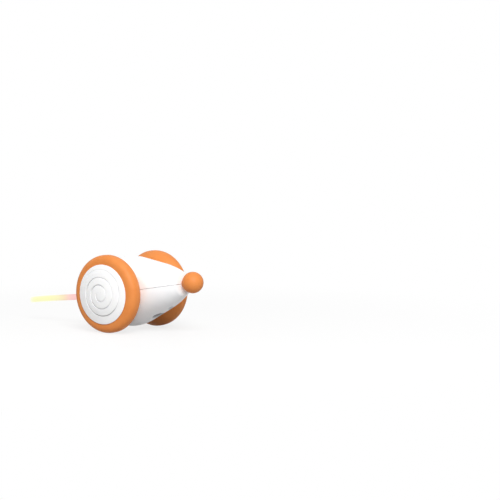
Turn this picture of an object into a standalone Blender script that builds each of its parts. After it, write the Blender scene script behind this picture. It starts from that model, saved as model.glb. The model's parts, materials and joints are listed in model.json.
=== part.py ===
"""Robotic mouse cat toy: a white clamshell body with a ball nose and a lit tail, on two driven wheels.

Frame: metres, +X towards the nose, +Y to the toy's left, +Z up. The origin is on the floor, under the
middle of the toy's length. The body has its own tilted frame on the wheel axle: X along the body,
Y to the left and Z square to the parting plane of the two shells.
"""
import math

import bmesh
import bpy
from mathutils import Matrix, Vector

MM = 0.001

# Clearances shared by all pieces
GAP = 0.3 * MM
OVERRUN = 1.0 * MM
SIDE_CLEARANCE = 0.8 * MM

# Wheels: tyre, rim and hub cap, measured outboard from the middle plane of the tyre
WHEEL_RADIUS = 30.0 * MM
TRACK = 57.4 * MM
TYRE_CROWN = 2.0 * MM
TYRE_SHOULDER_HEIGHT = 6.2 * MM
TYRE_OUTER_BULGE = 6.5 * MM
TYRE_INNER_BULGE = 8.0 * MM
TYRE_BEAD_DEPTH = 4.0 * MM
TYRE_FLANGE_SEAT = 1.6 * MM
TYRE_OUTER_POWER = 2.3
TYRE_INNER_POWER = 1.35
TYRE_SEGMENTS = 34
TYRE_STEPS = 3
RIM_WALL = 1.5 * MM
RIM_FLANGE_HEIGHT = 1.6 * MM
RIM_FLANGE_WIDTH = 1.1 * MM
RIM_WEB = 1.6 * MM
RIM_BOSS_RADIUS = 4.8 * MM
RIM_BOSS_LENGTH = 8.7 * MM
RIM_SEGMENTS = 18
HUB_CAP_RADIUS = 22.9 * MM
HUB_CAP_EDGE = 7.2 * MM
HUB_CAP_EDGE_THICKNESS = 0.4 * MM
HUB_CAP_RISE = 3.0 * MM
HUB_CAP_WALL = 1.6 * MM
HUB_CAP_SKIRT = 4.2 * MM
HUB_CAP_SKIRT_WALL = 1.2 * MM
HUB_CAP_STEPS = 3
HUB_CAP_BACK_STEPS = 1
HUB_CAP_SEGMENTS = 30
SPIRAL_START = 4.0 * MM
SPIRAL_PITCH = 5.7 * MM
SPIRAL_TURNS = 2.75
SPIRAL_START_ANGLE = math.radians(205.0)
SPIRAL_GROOVE = 0.75 * MM
SPIRAL_STEPS = 38
SPIRAL_SPREAD = 1.5

# Body shells, in the tilted body frame
BODY_PITCH = math.radians(9.3)
BODY_RADIUS = 27.3 * MM
BODY_REAR_REACH = 26.0 * MM
BODY_WALL = 1.8 * MM
BARREL_CURVE = 37.5 * MM
CONE_ANGLE = math.radians(18.73)
CONE_LENGTH = 20.0 * MM
SNOUT_CURVE = 88.0 * MM
SNOUT_ANGLE = math.radians(31.8)
SNOUT_FILLET = 3.4 * MM
SNOUT_FACE_ANGLE = math.radians(80.0)
PARTING_GAP = 0.3 * MM
BODY_SEGMENTS = 30
ARC_STEPS = 3
REAR_STEPS = 6
CAVITY_SEGMENTS = 22
CAVITY_ARC_STEPS = 2
CAVITY_REAR_STEPS = 5

# Nose ball with its stem and retaining flange
NOSE_RADIUS = 8.3 * MM
NOSE_NECK = 0.7 * MM
NOSE_WALL = 1.4 * MM
NOSE_STEM_RADIUS = 3.4 * MM
NOSE_STEM_BORE = 1.6 * MM
NOSE_FLANGE_RADIUS = 5.2 * MM
NOSE_FLANGE_THICKNESS = 1.4 * MM
NOSE_SEGMENTS = 22
NOSE_STEPS = 7
NOSE_INNER_STEPS = 4
BUTTON_SEGMENTS = 16

# Tail: a translucent strip of oval section, plugged into the back of the body
TAIL_HEIGHT = 4.9 * MM
TAIL_WIDTH = 3.8 * MM
TAIL_TIP_SHARE = 0.96
TAIL_TIP_ROUND_SHARES = (0.0, 0.35, 0.7)
TAIL_END_X = 108.0 * MM
TAIL_END_DROP = 13.5 * MM
TAIL_SLOPE = math.radians(8.0)
TAIL_FLANGE_RADIUS = 3.8 * MM
TAIL_FLANGE_THICKNESS = 1.0 * MM
TAIL_RINGS = 12
TAIL_SIDES = 10

# Gear trains, one on each side, mirrored from nose to tail
PINION_MODULE = 0.5 * MM
PINION_TEETH = 8
IDLER_TEETH = 32
DRIVE_MODULE = 0.6 * MM
IDLER_PINION_TEETH = 8
OUTPUT_TEETH = 27
TOOTH_ADDENDUM_SHARE = 0.85
TOOTH_DEDENDUM_SHARE = 1.4
TOOTH_TIP_SHARE = 0.25
IDLER_DIRECTION = math.radians(-60.0)
PINION_DIRECTION = math.radians(25.0)
FRAME_PLATE = 1.1 * MM
FRAME_PLATE_INSIDE = 8.8 * MM
GEAR_WIDTH = 2.3 * MM
GEAR_STAGE_GAP = 0.4 * MM
COVER_PLATE = 1.0 * MM
POST_RADIUS = 1.5 * MM
PEG_RADIUS = 0.8 * MM
PEG_PROUD = 0.2 * MM
POST_EYE = 2.6 * MM
MOTOR_EYE = 6.3 * MM
IDLER_EYE = 3.0 * MM
POST_PLACES = ((-10.8 * MM, -2.0 * MM), (10.6 * MM, 4.6 * MM), (-6.5 * MM, -13.0 * MM))
IDLER_PIN_RADIUS = 0.6 * MM
SHAFT_RADIUS = 2.0 * MM
SHAFT_JOURNAL_RADIUS = 1.2 * MM
SHAFT_SEGMENTS = 12
BUSHING_WALL = 1.0 * MM
BUSHING_FLANGE = 1.2 * MM
BUSHING_FLANGE_THICKNESS = 0.8 * MM
PAD_RADIUS = 2.0 * MM

# Motors
MOTOR_HEIGHT = 12.0 * MM
MOTOR_WIDTH = 10.0 * MM
MOTOR_LENGTH = 15.0 * MM
MOTOR_NOSE_RADIUS = 1.7 * MM
MOTOR_SHAFT_RADIUS = 0.5 * MM
MOTOR_SHAFT_BORE_DEPTH = 4.0 * MM

# Wheel screws, shell screws
SCREW_SHANK_RADIUS = 0.8 * MM
SCREW_HEAD_RADIUS = 2.2 * MM
SCREW_HEAD_HEIGHT = 1.4 * MM
WHEEL_SCREW_LENGTH = 4.5 * MM
SHELL_SCREW_LENGTH = 9.0 * MM
SHELL_SCREW_HEAD_DEPTH = 4.6 * MM
SCREW_BOSS_RADIUS = 3.1 * MM
SHELL_SCREW_PLACES = ((-17.1 * MM, -12.6 * MM), (17.1 * MM, 12.6 * MM), (36.0 * MM, 0.0))
SCREW_SEGMENTS = 10

# Power button on the belly, with the switch behind it
BUTTON_PLACE = 23.0 * MM
BUTTON_RADIUS = 4.4 * MM
BUTTON_TRAVEL = 0.6 * MM
BUTTON_POCKET_RADIUS = 5.9 * MM
BUTTON_POCKET_DEPTH = 2.0 * MM
BUTTON_CROWN_DEPTH = 0.7 * MM
BUTTON_SEAT = 1.4 * MM
BUTTON_FLANGE = 1.1 * MM
SWITCH_SIDE = 6.0 * MM
SWITCH_HEIGHT = 3.2 * MM
SWITCH_PLUNGER_RADIUS = 1.6 * MM
SWITCH_PLUNGER_PROUD = 1.1 * MM
SWITCH_PLUNGER_BURIED = 1.2 * MM
SWITCH_BOARD = (15.0 * MM, 9.0 * MM, 1.0 * MM)
SWITCH_POST_RADIUS = 0.7 * MM

# Battery, main board, charging socket and tail light
BATTERY = (29.0 * MM, 16.6 * MM, 6.8 * MM)
BATTERY_PLACE = -3.4 * MM
BATTERY_UNDERSIDE = 2.3 * MM
BATTERY_EDGE = 1.2 * MM
BOARD_LENGTH = 34.0 * MM
BOARD_WIDTH = 18.0 * MM
BOARD_THICKNESS = 1.2 * MM
BOARD_REAR = -16.9 * MM
BOARD_CORNER = 2.0 * MM
STANDOFF_RADIUS = 1.6 * MM
STANDOFF_PEG_RADIUS = 0.8 * MM
STANDOFF_INSET = 2.4 * MM
SOCKET = (7.4 * MM, 9.0 * MM, 3.2 * MM)
SOCKET_WALL = 0.4 * MM
SOCKET_CAVITY_DEPTH = 6.0 * MM
SOCKET_MOUTH = -21.0 * MM
SOCKET_OPENING_CLEARANCE = 0.5 * MM
CONTROLLER_CHIP = (7.0 * MM, 7.0 * MM, 1.0 * MM)
CONTROLLER_PLACE = -2.0 * MM
DRIVER_CHIP = (5.0 * MM, 4.0 * MM, 1.3 * MM)
DRIVER_PLACE = 8.5 * MM
LIGHT_BOARD = (0.8 * MM, 14.0 * MM, 8.0 * MM)
LIGHT_SIDE = 3.4 * MM
LIGHT_DEPTH = 1.0 * MM
LIGHT_RIB = (1.2 * MM, 1.5 * MM)
LIGHT_RIB_FOOT = 1.7 * MM

# Counterweight low behind the axle, which holds the nose up
WEIGHT_FRONT = -4.0 * MM
WEIGHT_REAR = -23.0 * MM
WEIGHT_WIDTH = 16.4 * MM
WEIGHT_TOP = -11.4 * MM
WEIGHT_STEP = -19.8 * MM
WEIGHT_STEP_TOP = -4.7 * MM
WEIGHT_RIB = 1.2 * MM


def clear_scene():
    """Remove every object that the file opened with."""
    for old in list(bpy.data.objects):
        bpy.data.objects.remove(old, do_unlink=True)


def new_collection(name):
    """Return a new collection linked to the scene."""
    collection = bpy.data.collections.new(name)
    bpy.context.scene.collection.children.link(collection)
    return collection


def finish(name, colour, roughness, metallic=0.0, alpha=1.0):
    """Return a plain Principled material."""
    material = bpy.data.materials.new(name)
    material.use_nodes = True
    shader = material.node_tree.nodes["Principled BSDF"]
    shader.inputs["Base Color"].default_value = (*colour, 1.0)
    shader.inputs["Roughness"].default_value = roughness
    shader.inputs["Metallic"].default_value = metallic
    shader.inputs["Alpha"].default_value = alpha
    return material


class Palette:
    """The materials of the toy."""

    def __init__(self):
        self.shell = finish("white_shell_plastic", (0.90, 0.90, 0.90), 0.35)
        self.cap = finish("white_cap_plastic", (0.92, 0.92, 0.92), 0.3)
        self.orange = finish("orange_rubber", (0.85, 0.30, 0.07), 0.6)
        self.tail = finish("clear_tail_rubber", (1.0, 0.72, 0.55), 0.3, 0.0, 0.7)
        self.steel = finish("steel", (0.62, 0.62, 0.64), 0.3, 1.0)
        self.bronze = finish("sintered_bronze", (0.55, 0.36, 0.16), 0.45, 1.0)
        self.gear = finish("gear_plastic", (0.85, 0.84, 0.80), 0.4)
        self.frame = finish("grey_frame_plastic", (0.25, 0.26, 0.28), 0.5)
        self.board = finish("green_board", (0.03, 0.20, 0.08), 0.45)
        self.chip = finish("black_chip", (0.02, 0.02, 0.02), 0.4)
        self.battery = finish("battery_wrap", (0.20, 0.35, 0.60), 0.4)
        self.lamp = finish("lamp_resin", (0.95, 0.90, 0.80), 0.25)
        self.button = finish("white_button_plastic", (0.88, 0.88, 0.88), 0.4)


def new_object(name, mesh, collection, material=None, parent=None):
    """Link a mesh as a named object, shaded smooth except over sharp edges."""
    thing = bpy.data.objects.new(name, mesh)
    collection.objects.link(thing)
    if material is not None:
        mesh.materials.append(material)
    if parent is not None:
        thing.parent = parent
    return thing


def mesh_from(name, shape):
    """Turn a bmesh into a mesh and free it."""
    mesh = bpy.data.meshes.new(name)
    shape.to_mesh(mesh)
    shape.free()
    return mesh


def smooth(mesh, angle=math.radians(35.0)):
    """Shade a mesh smooth, with sharp edges kept."""
    mesh.shade_smooth()
    mesh.set_sharp_from_angle(angle=angle)


def add_cylinder(shape, radius, low, high, centre=(0.0, 0.0), segments=SHAFT_SEGMENTS):
    """Add a closed cylinder along Z to a bmesh."""
    bmesh.ops.create_cone(
        shape, cap_ends=True, cap_tris=False, segments=segments,
        radius1=radius, radius2=radius, depth=high - low,
        matrix=Matrix.Translation((centre[0], centre[1], (low + high) / 2)))


def add_box(shape, low, high):
    """Add a closed box between two corners to a bmesh."""
    centre = [(a + b) / 2 for a, b in zip(low, high)]
    size = [b - a for a, b in zip(low, high)]
    scale = Matrix.Diagonal((*size, 1.0))
    bmesh.ops.create_cube(shape, size=1.0, matrix=Matrix.Translation(centre) @ scale)


def box_mesh(name, low, high):
    """Return the mesh of a closed box."""
    shape = bmesh.new()
    add_box(shape, low, high)
    return mesh_from(name, shape)


def bevelled_box(name, low, high, width, segments=2):
    """Return the mesh of a box with rounded edges."""
    shape = bmesh.new()
    add_box(shape, low, high)
    bmesh.ops.bevel(shape, geom=list(shape.edges), offset=width, offset_type="OFFSET",
                    segments=segments, profile=0.5, affect="EDGES")
    return mesh_from(name, shape)


def add_turned(shape, outline, segments):
    """Turn an outline of (radius, height) points about Z; the ends may lie on the axis or meet."""
    closed = outline[0] == outline[-1]
    points = outline[:-1] if closed else outline
    verts = [shape.verts.new((radius, 0.0, height)) for radius, height in points]
    edges = [shape.edges.new(pair) for pair in zip(verts, verts[1:])]
    if closed:
        edges.append(shape.edges.new((verts[-1], verts[0])))
    bmesh.ops.spin(shape, geom=verts + edges, cent=(0.0, 0.0, 0.0), axis=(0.0, 0.0, 1.0),
                   angle=math.tau, steps=segments, use_merge=True, use_duplicate=False)
    bmesh.ops.remove_doubles(shape, verts=list(shape.verts), dist=MM / 1000.0)
    bmesh.ops.recalc_face_normals(shape, faces=list(shape.faces))


def turned_mesh(name, outline, segments):
    """Return the mesh of one turned outline."""
    shape = bmesh.new()
    add_turned(shape, outline, segments)
    mesh = mesh_from(name, shape)
    smooth(mesh)
    return mesh


def add_boolean(thing, other, operation):
    """Add an exact Boolean modifier."""
    modifier = thing.modifiers.new(operation.lower() + "_" + other.name, "BOOLEAN")
    modifier.operation = operation
    modifier.solver = "EXACT"
    modifier.object = other


def arc(centre, radius, start, end, steps):
    """Return points of a circular arc, ends included."""
    points = []
    for step in range(steps + 1):
        angle = start + (end - start) * step / steps
        points.append((centre[0] + radius * math.cos(angle), centre[1] + radius * math.sin(angle)))
    return points


class Layout:
    """Places that several pieces share, worked out from the driving sizes."""

    def __init__(self):
        self.body_half_width = TRACK / 2 - TYRE_INNER_BULGE - SIDE_CLEARANCE
        self.cavity_half_width = self.body_half_width - BODY_WALL
        self.nose = nose_centre()
        nose_reach = self.nose * math.cos(BODY_PITCH) + NOSE_RADIUS
        self.axle = Vector(((TAIL_END_X - nose_reach) / 2, 0.0, WHEEL_RADIUS))
        # Gear train, outwards from the middle of the body
        self.plate_inner = FRAME_PLATE_INSIDE
        self.plate_outer = self.plate_inner + FRAME_PLATE
        self.first_low = self.plate_outer + GAP
        self.first_high = self.first_low + GEAR_WIDTH
        self.second_low = self.first_high + GEAR_STAGE_GAP
        self.second_high = self.second_low + GEAR_WIDTH
        self.cover_inner = self.second_high + GEAR_STAGE_GAP
        self.cover_outer = self.cover_inner + COVER_PLATE
        # Centres of the gears in the body frame, for the right side
        drive_distance = DRIVE_MODULE * (IDLER_PINION_TEETH + OUTPUT_TEETH) / 2
        first_distance = PINION_MODULE * (PINION_TEETH + IDLER_TEETH) / 2
        self.idler = (drive_distance * math.cos(IDLER_DIRECTION),
                      drive_distance * math.sin(IDLER_DIRECTION))
        self.pinion = (self.idler[0] + first_distance * math.cos(PINION_DIRECTION),
                       self.idler[1] + first_distance * math.sin(PINION_DIRECTION))
        # Wheel, outboard from the tyre's middle plane
        self.tyre_waist = WHEEL_RADIUS - TYRE_SHOULDER_HEIGHT
        self.tyre_bore = self.tyre_waist - TYRE_BEAD_DEPTH
        self.rim_radius = self.tyre_bore - GAP
        self.cap_back = HUB_CAP_EDGE - HUB_CAP_EDGE_THICKNESS
        self.rim_outer_end = self.cap_back - GAP
        self.shell_face = self.body_half_width - TRACK / 2
        self.boss_inner_end = self.shell_face + 2 * GAP
        self.web_low = self.boss_inner_end + RIM_BOSS_LENGTH
        self.web_high = self.web_low + RIM_WEB
        self.shaft_end = TRACK / 2 + self.web_low - GAP
        self.shaft_bore = SHAFT_RADIUS + GAP


def body_outline(inset, arc_steps=ARC_STEPS, rear_steps=REAR_STEPS):
    """Return the outline of the body, from the nose face to the back, drawn in by inset."""
    points = []
    along, radius, heading = 0.0, BODY_RADIUS - inset, 0.0
    stretches = ((BARREL_CURVE - inset, CONE_ANGLE), (0.0, CONE_ANGLE),
                 (SNOUT_CURVE - inset, SNOUT_ANGLE), (SNOUT_FILLET - inset, SNOUT_FACE_ANGLE))
    for curve, turn in stretches:
        if curve == 0.0:
            along += CONE_LENGTH
            radius -= CONE_LENGTH * math.tan(heading)
            points.append((radius, along))
            continue
        for step in range(1, arc_steps + 1):
            angle = heading + (turn - heading) * step / arc_steps
            points.append((radius - curve * (math.cos(heading) - math.cos(angle)),
                           along + curve * (math.sin(angle) - math.sin(heading))))
        radius, along = points[-1]
        heading = turn
    points.append((0.0, along + radius / math.tan(heading)))
    points.reverse()
    for step in range(rear_steps + 1):
        angle = math.pi / 2 * step / rear_steps
        height = -(BODY_REAR_REACH - inset) * math.sin(angle)
        width = (BODY_RADIUS - inset) * math.cos(angle) if step < rear_steps else 0.0
        points.append((width, height))
    return points


def cavity_outline(inset):
    """Return the coarser outline of a body hollow, drawn in by inset."""
    return body_outline(inset, CAVITY_ARC_STEPS, CAVITY_REAR_STEPS)


def cavity_back_at(radius):
    """Return where the rear end of the hollow lies, at a distance from the body's axis."""
    ring, tip = cavity_outline(BODY_WALL)[-2:]
    return tip[1] + (ring[1] - tip[1]) * radius / ring[0]


def body_radius_at(along):
    """Return the radius of the body outline at a place along the body."""
    outline = body_outline(0.0)
    for (r_front, a_front), (r_back, a_back) in zip(outline, outline[1:]):
        if a_back <= along <= a_front:
            share = (along - a_back) / (a_front - a_back)
            return r_back + (r_front - r_back) * share
    return 0.0


def body_slope_at(along):
    """Return the angle at which the body outline falls towards the nose."""
    reach = BODY_WALL
    return math.atan2(body_radius_at(along - reach) - body_radius_at(along + reach), 2 * reach)


def snout_face_at(radius):
    """Return how far forward the nose face lies at a distance from the body's axis."""
    outline = body_outline(0.0)
    tip, shoulder = outline[0], outline[1]
    return tip[1] + (shoulder[1] - tip[1]) * radius / shoulder[0]


def nose_centre():
    """Return how far forward the nose ball's centre lies, a neck's length clear of the nose face."""
    radius = NOSE_STEM_RADIUS + GAP
    return snout_face_at(radius) + NOSE_NECK + math.sqrt(NOSE_RADIUS ** 2 - radius ** 2)


def gear_outline(module, teeth, phase):
    """Return the points of a toothed wheel, with one tooth centred at the phase angle."""
    pitch_radius = module * teeth / 2
    tip = pitch_radius + TOOTH_ADDENDUM_SHARE * module
    root = pitch_radius - TOOTH_DEDENDUM_SHARE * module
    half_tip = TOOTH_TIP_SHARE * module / tip
    points = []
    for tooth in range(teeth):
        middle = phase + math.tau * tooth / teeth
        gullet = middle + math.pi / teeth
        for radius, angle in ((tip, middle - half_tip), (tip, middle + half_tip), (root, gullet)):
            points.append((radius * math.cos(angle), radius * math.sin(angle)))
    return points


def add_prism(shape, outline, low, high):
    """Add a closed prism along Z over a counter-clockwise outline to a bmesh."""
    floor = [shape.verts.new((x, y, low)) for x, y in outline]
    face = shape.faces.new(list(reversed(floor)))
    top = bmesh.ops.extrude_face_region(shape, geom=[face], use_keep_orig=True)
    raised = [item for item in top["geom"] if isinstance(item, bmesh.types.BMVert)]
    bmesh.ops.translate(shape, verts=raised, vec=(0.0, 0.0, high - low))
    bmesh.ops.recalc_face_normals(shape, faces=list(shape.faces))


def bake(thing, collection):
    """Replace an object's mesh by its evaluated one and drop its modifiers."""
    bpy.context.view_layer.update()
    graph = bpy.context.evaluated_depsgraph_get()
    result = bpy.data.meshes.new_from_object(thing.evaluated_get(graph))
    thing.modifiers.clear()
    old = thing.data
    thing.data = result
    bpy.data.meshes.remove(old)
    smooth(result)
    return thing


class Side:
    """One side of the toy: +1 is the left wheel's side, -1 the right wheel's."""

    def __init__(self, name, sign, layout):
        self.name = name
        self.sign = sign
        # The right side's motor lies ahead of the axle and the left side's behind it
        self.ahead = -sign
        self.idler = (layout.idler[0] * self.ahead, layout.idler[1])
        self.pinion = (layout.pinion[0] * self.ahead, layout.pinion[1])
        self.posts = [(x * self.ahead, z) for x, z in POST_PLACES]

    def outward(self):
        """Return the turn that points a piece's own Z outboard."""
        return Matrix.Rotation(-self.sign * math.pi / 2, 4, "X")

    def local(self, place):
        """Return a body place (along, up) in the plane of an outward-turned piece."""
        return (place[0], -self.sign * place[1])


class Toy:
    """Builds every piece of the toy."""

    def __init__(self):
        clear_scene()
        self.parts = new_collection("robotic_mouse_toy")
        self.cutters = new_collection("cutters")
        self.paint = Palette()
        self.place = Layout()
        self.axle = bpy.data.objects.new("axle_point", None)
        self.axle.location = self.place.axle
        self.parts.objects.link(self.axle)
        self.body = bpy.data.objects.new("body_axis", None)
        self.body.parent = self.axle
        self.body.rotation_euler = (0.0, -BODY_PITCH, 0.0)
        self.parts.objects.link(self.body)
        self.sides = (Side("right", -1, self.place), Side("left", 1, self.place))

    def part(self, name, mesh, material, parent=None):
        """Add one piece."""
        return new_object(name, mesh, self.parts, material, parent or self.body)

    def cutter(self, name, mesh, parent=None):
        """Add one hidden cutter."""
        thing = new_object(name, mesh, self.cutters, None, parent or self.body)
        thing.hide_render = True
        thing.display_type = "WIRE"
        return thing

    def button_frame(self):
        """Return the frame of the power button: origin on the belly, Z pointing into the body."""
        slope = body_slope_at(BUTTON_PLACE)
        radius = body_radius_at(BUTTON_PLACE)
        return Matrix.Translation((BUTTON_PLACE, 0.0, -radius)) @ Matrix.Rotation(-slope, 4, "Y")

    # Shells

    def cavity(self, name, islands):
        """Return the hollow of a shell: the inset body outline less the material left standing in it."""
        mesh = turned_mesh(name, cavity_outline(BODY_WALL), CAVITY_SEGMENTS)
        hollow = self.cutter(name, mesh)
        mesh.transform(Matrix.Rotation(math.pi / 2, 4, "Y"))
        reach = 2 * BODY_RADIUS
        half = self.place.cavity_half_width
        slab_mesh = box_mesh(name + "_slab", (-reach, -half, -reach), (reach, half, reach))
        slab = self.cutter(name + "_slab", slab_mesh)
        add_boolean(hollow, slab, "INTERSECT")
        for island in islands:
            add_boolean(hollow, island, "DIFFERENCE")
        return hollow

    def shell(self, name, low, high, islands, holes):
        """Build one half of the body between two heights."""
        mesh = turned_mesh(name, body_outline(0.0), BODY_SEGMENTS)
        mesh.transform(Matrix.Rotation(math.pi / 2, 4, "Y"))
        half_shell = self.part(name, mesh, self.paint.shell)
        half = self.place.body_half_width
        reach = 2 * BODY_RADIUS
        block_mesh = box_mesh(name + "_block", (-reach, -half, low), (reach, half, high))
        block = self.cutter(name + "_block", block_mesh)
        add_boolean(half_shell, block, "INTERSECT")
        add_boolean(half_shell, self.cavity(name + "_cavity", islands), "DIFFERENCE")
        add_boolean(half_shell, holes, "DIFFERENCE")
        bake(half_shell, self.parts)
        return half_shell

    def shared_holes(self, shape):
        """Add the holes that both shells share along the parting plane."""
        bore = SHAFT_RADIUS + GAP + BUSHING_WALL + GAP
        for side in self.sides:
            turn = side.outward()
            hole = bmesh.new()
            add_cylinder(hole, bore, self.place.cavity_half_width - OVERRUN,
                         self.place.body_half_width + OVERRUN)
            bmesh.ops.transform(hole, matrix=turn, verts=list(hole.verts))
            self.merge(shape, hole)
        nose = bmesh.new()
        add_cylinder(nose, NOSE_STEM_RADIUS + GAP, self.nose_seat() - OVERRUN,
                     snout_face_at(0.0) + OVERRUN, segments=NOSE_SEGMENTS)
        bmesh.ops.transform(nose, matrix=Matrix.Rotation(math.pi / 2, 4, "Y"), verts=list(nose.verts))
        self.merge(shape, nose)
        tail = bmesh.new()
        add_cylinder(tail, max(TAIL_HEIGHT, TAIL_WIDTH) / 2 + GAP, -BODY_REAR_REACH - OVERRUN,
                     -BODY_REAR_REACH + BODY_WALL + OVERRUN)
        bmesh.ops.transform(tail, matrix=Matrix.Rotation(math.pi / 2, 4, "Y"), verts=list(tail.verts))
        self.merge(shape, tail)

    def merge(self, shape, extra):
        """Move one bmesh's geometry into another."""
        mesh = bpy.data.meshes.new("merge")
        extra.to_mesh(mesh)
        extra.free()
        shape.from_mesh(mesh)
        bpy.data.meshes.remove(mesh)

    def nose_seat(self):
        """Return where the inside of the nose face lies, at the stem."""
        return snout_face_at(NOSE_FLANGE_RADIUS) - BODY_WALL / math.sin(SNOUT_FACE_ANGLE)

    def board_level(self):
        """Return the underside of the main board."""
        return BATTERY_UNDERSIDE + BATTERY[2] + GAP

    def standoffs(self):
        """Return the places of the main board's standoffs."""
        front = BOARD_REAR + BOARD_LENGTH - STANDOFF_INSET
        side = BOARD_WIDTH / 2 - STANDOFF_INSET
        return [(x, y) for x in (BOARD_REAR + SOCKET[0] + 2 * STANDOFF_INSET, front) for y in (-side, side)]

    def upper_shell(self):
        """Build the upper shell with its screw bosses and the standoffs of the main board."""
        top = 2 * BODY_RADIUS
        islands = bmesh.new()
        for x, y in SHELL_SCREW_PLACES:
            add_cylinder(islands, SCREW_BOSS_RADIUS, 0.0, top, (x, y), SCREW_SEGMENTS)
        shoulder = self.board_level() + BOARD_THICKNESS + GAP
        for x, y in self.standoffs():
            outline = ((0.0, top), (STANDOFF_RADIUS, top), (STANDOFF_RADIUS, shoulder),
                       (STANDOFF_PEG_RADIUS, shoulder), (STANDOFF_PEG_RADIUS, self.board_level()),
                       (0.0, self.board_level()))
            add_turned_at(islands, outline, (x, y), SCREW_SEGMENTS)
        for side in self.sides:
            self.add_pad(islands, side, side.posts[1])
        rib_x = self.light_board_x() + LIGHT_BOARD[0] + GAP
        outer = LIGHT_BOARD[1] / 2
        for way in (-1.0, 1.0):
            span = sorted((way * outer, way * (outer - LIGHT_RIB[1])))
            add_box(islands, (rib_x, span[0], LIGHT_RIB_FOOT), (rib_x + LIGHT_RIB[0], span[1], top))
        holes = bmesh.new()
        self.shared_holes(holes)
        for x, y in SHELL_SCREW_PLACES:
            add_cylinder(holes, SCREW_SHANK_RADIUS + GAP, -OVERRUN,
                         self.screw_tip() + GAP, (x, y), SCREW_SEGMENTS)
        self.merge(holes, self.socket_opening())
        self.shell("upper_shell", PARTING_GAP / 2, top,
                   [self.cutter("upper_islands", mesh_from("upper_islands", islands))],
                   self.cutter("upper_holes", mesh_from("upper_holes", holes)))

    def add_pad(self, shape, side, place):
        """Add a pad on the shell's side wall, which the gear cover rests against."""
        pad = bmesh.new()
        add_cylinder(pad, PAD_RADIUS, self.place.cover_outer + GAP + PEG_PROUD, TRACK,
                     side.local(place), SCREW_SEGMENTS)
        bmesh.ops.transform(pad, matrix=side.outward(), verts=list(pad.verts))
        self.merge(shape, pad)

    def screw_tip(self):
        """Return the height that the shell screws reach."""
        return SHELL_SCREW_LENGTH - SHELL_SCREW_HEAD_DEPTH

    def lower_shell(self):
        """Build the lower shell with its screw bosses, the weight's rib and the button's pocket."""
        floor = -2 * BODY_RADIUS
        islands = bmesh.new()
        for x, y in SHELL_SCREW_PLACES:
            add_cylinder(islands, SCREW_BOSS_RADIUS, floor, 0.0, (x, y), SCREW_SEGMENTS)
        for side in self.sides:
            self.add_pad(islands, side, side.posts[2])
        self.add_weight_rib(islands)
        self.merge(islands, self.button_housing())
        holes = bmesh.new()
        self.shared_holes(holes)
        for x, y in SHELL_SCREW_PLACES:
            add_turned_at(holes, ((0.0, OVERRUN), (SCREW_SHANK_RADIUS + GAP, OVERRUN),
                                  (SCREW_SHANK_RADIUS + GAP, -SHELL_SCREW_HEAD_DEPTH + GAP),
                                  (SCREW_HEAD_RADIUS + GAP, -SHELL_SCREW_HEAD_DEPTH + GAP),
                                  (SCREW_HEAD_RADIUS + GAP, floor), (0.0, floor)), (x, y), SCREW_SEGMENTS)
        pocket = bmesh.new()
        add_turned(pocket, ((0.0, -BUTTON_POCKET_RADIUS), (BUTTON_POCKET_RADIUS, -BUTTON_POCKET_RADIUS),
                            (BUTTON_POCKET_RADIUS, BUTTON_POCKET_DEPTH),
                            (BUTTON_RADIUS + GAP, BUTTON_POCKET_DEPTH),
                            (BUTTON_RADIUS + GAP, self.button_seat() + OVERRUN),
                            (0.0, self.button_seat() + OVERRUN)), BUTTON_SEGMENTS)
        bmesh.ops.transform(pocket, matrix=self.button_frame(), verts=list(pocket.verts))
        self.merge(holes, pocket)
        self.shell("lower_shell", floor, -PARTING_GAP / 2,
                   [self.cutter("lower_islands", mesh_from("lower_islands", islands)), self.switch_posts()],
                   self.cutter("lower_holes", mesh_from("lower_holes", holes)))

    # Power button and its switch, along the button frame's Z

    def button_seat(self):
        """Return the inner end of the shell's guide for the button."""
        return BUTTON_POCKET_DEPTH + BUTTON_SEAT

    def button_back(self):
        """Return the inner end of the button."""
        return self.button_seat() + GAP + BUTTON_FLANGE

    def switch_top(self):
        """Return where the switch's body starts."""
        return self.button_back() + GAP + SWITCH_PLUNGER_PROUD

    def switch_back(self):
        """Return the inner end of the switch, which the switch board rests on."""
        return self.switch_top() + SWITCH_HEIGHT

    def button_housing(self):
        """Return the lower shell's round pad behind the button."""
        shape = bmesh.new()
        add_cylinder(shape, BUTTON_POCKET_RADIUS + BODY_WALL, -BUTTON_POCKET_RADIUS, self.button_seat(),
                     segments=BUTTON_SEGMENTS)
        bmesh.ops.transform(shape, matrix=self.button_frame(), verts=list(shape.verts))
        return shape

    def switch_posts(self):
        """Return the two posts on that pad, which carry the ends of the switch board."""
        shape = bmesh.new()
        reach = SWITCH_BOARD[0] / 2 - SWITCH_POST_RADIUS
        for way in (-reach, reach):
            add_cylinder(shape, SWITCH_POST_RADIUS, self.button_seat() - OVERRUN, self.switch_back(),
                         (0.0, way), SCREW_SEGMENTS)
        posts = self.cutter("switch_posts", mesh_from("switch_posts", shape))
        posts.matrix_local = self.button_frame()
        return posts

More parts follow.
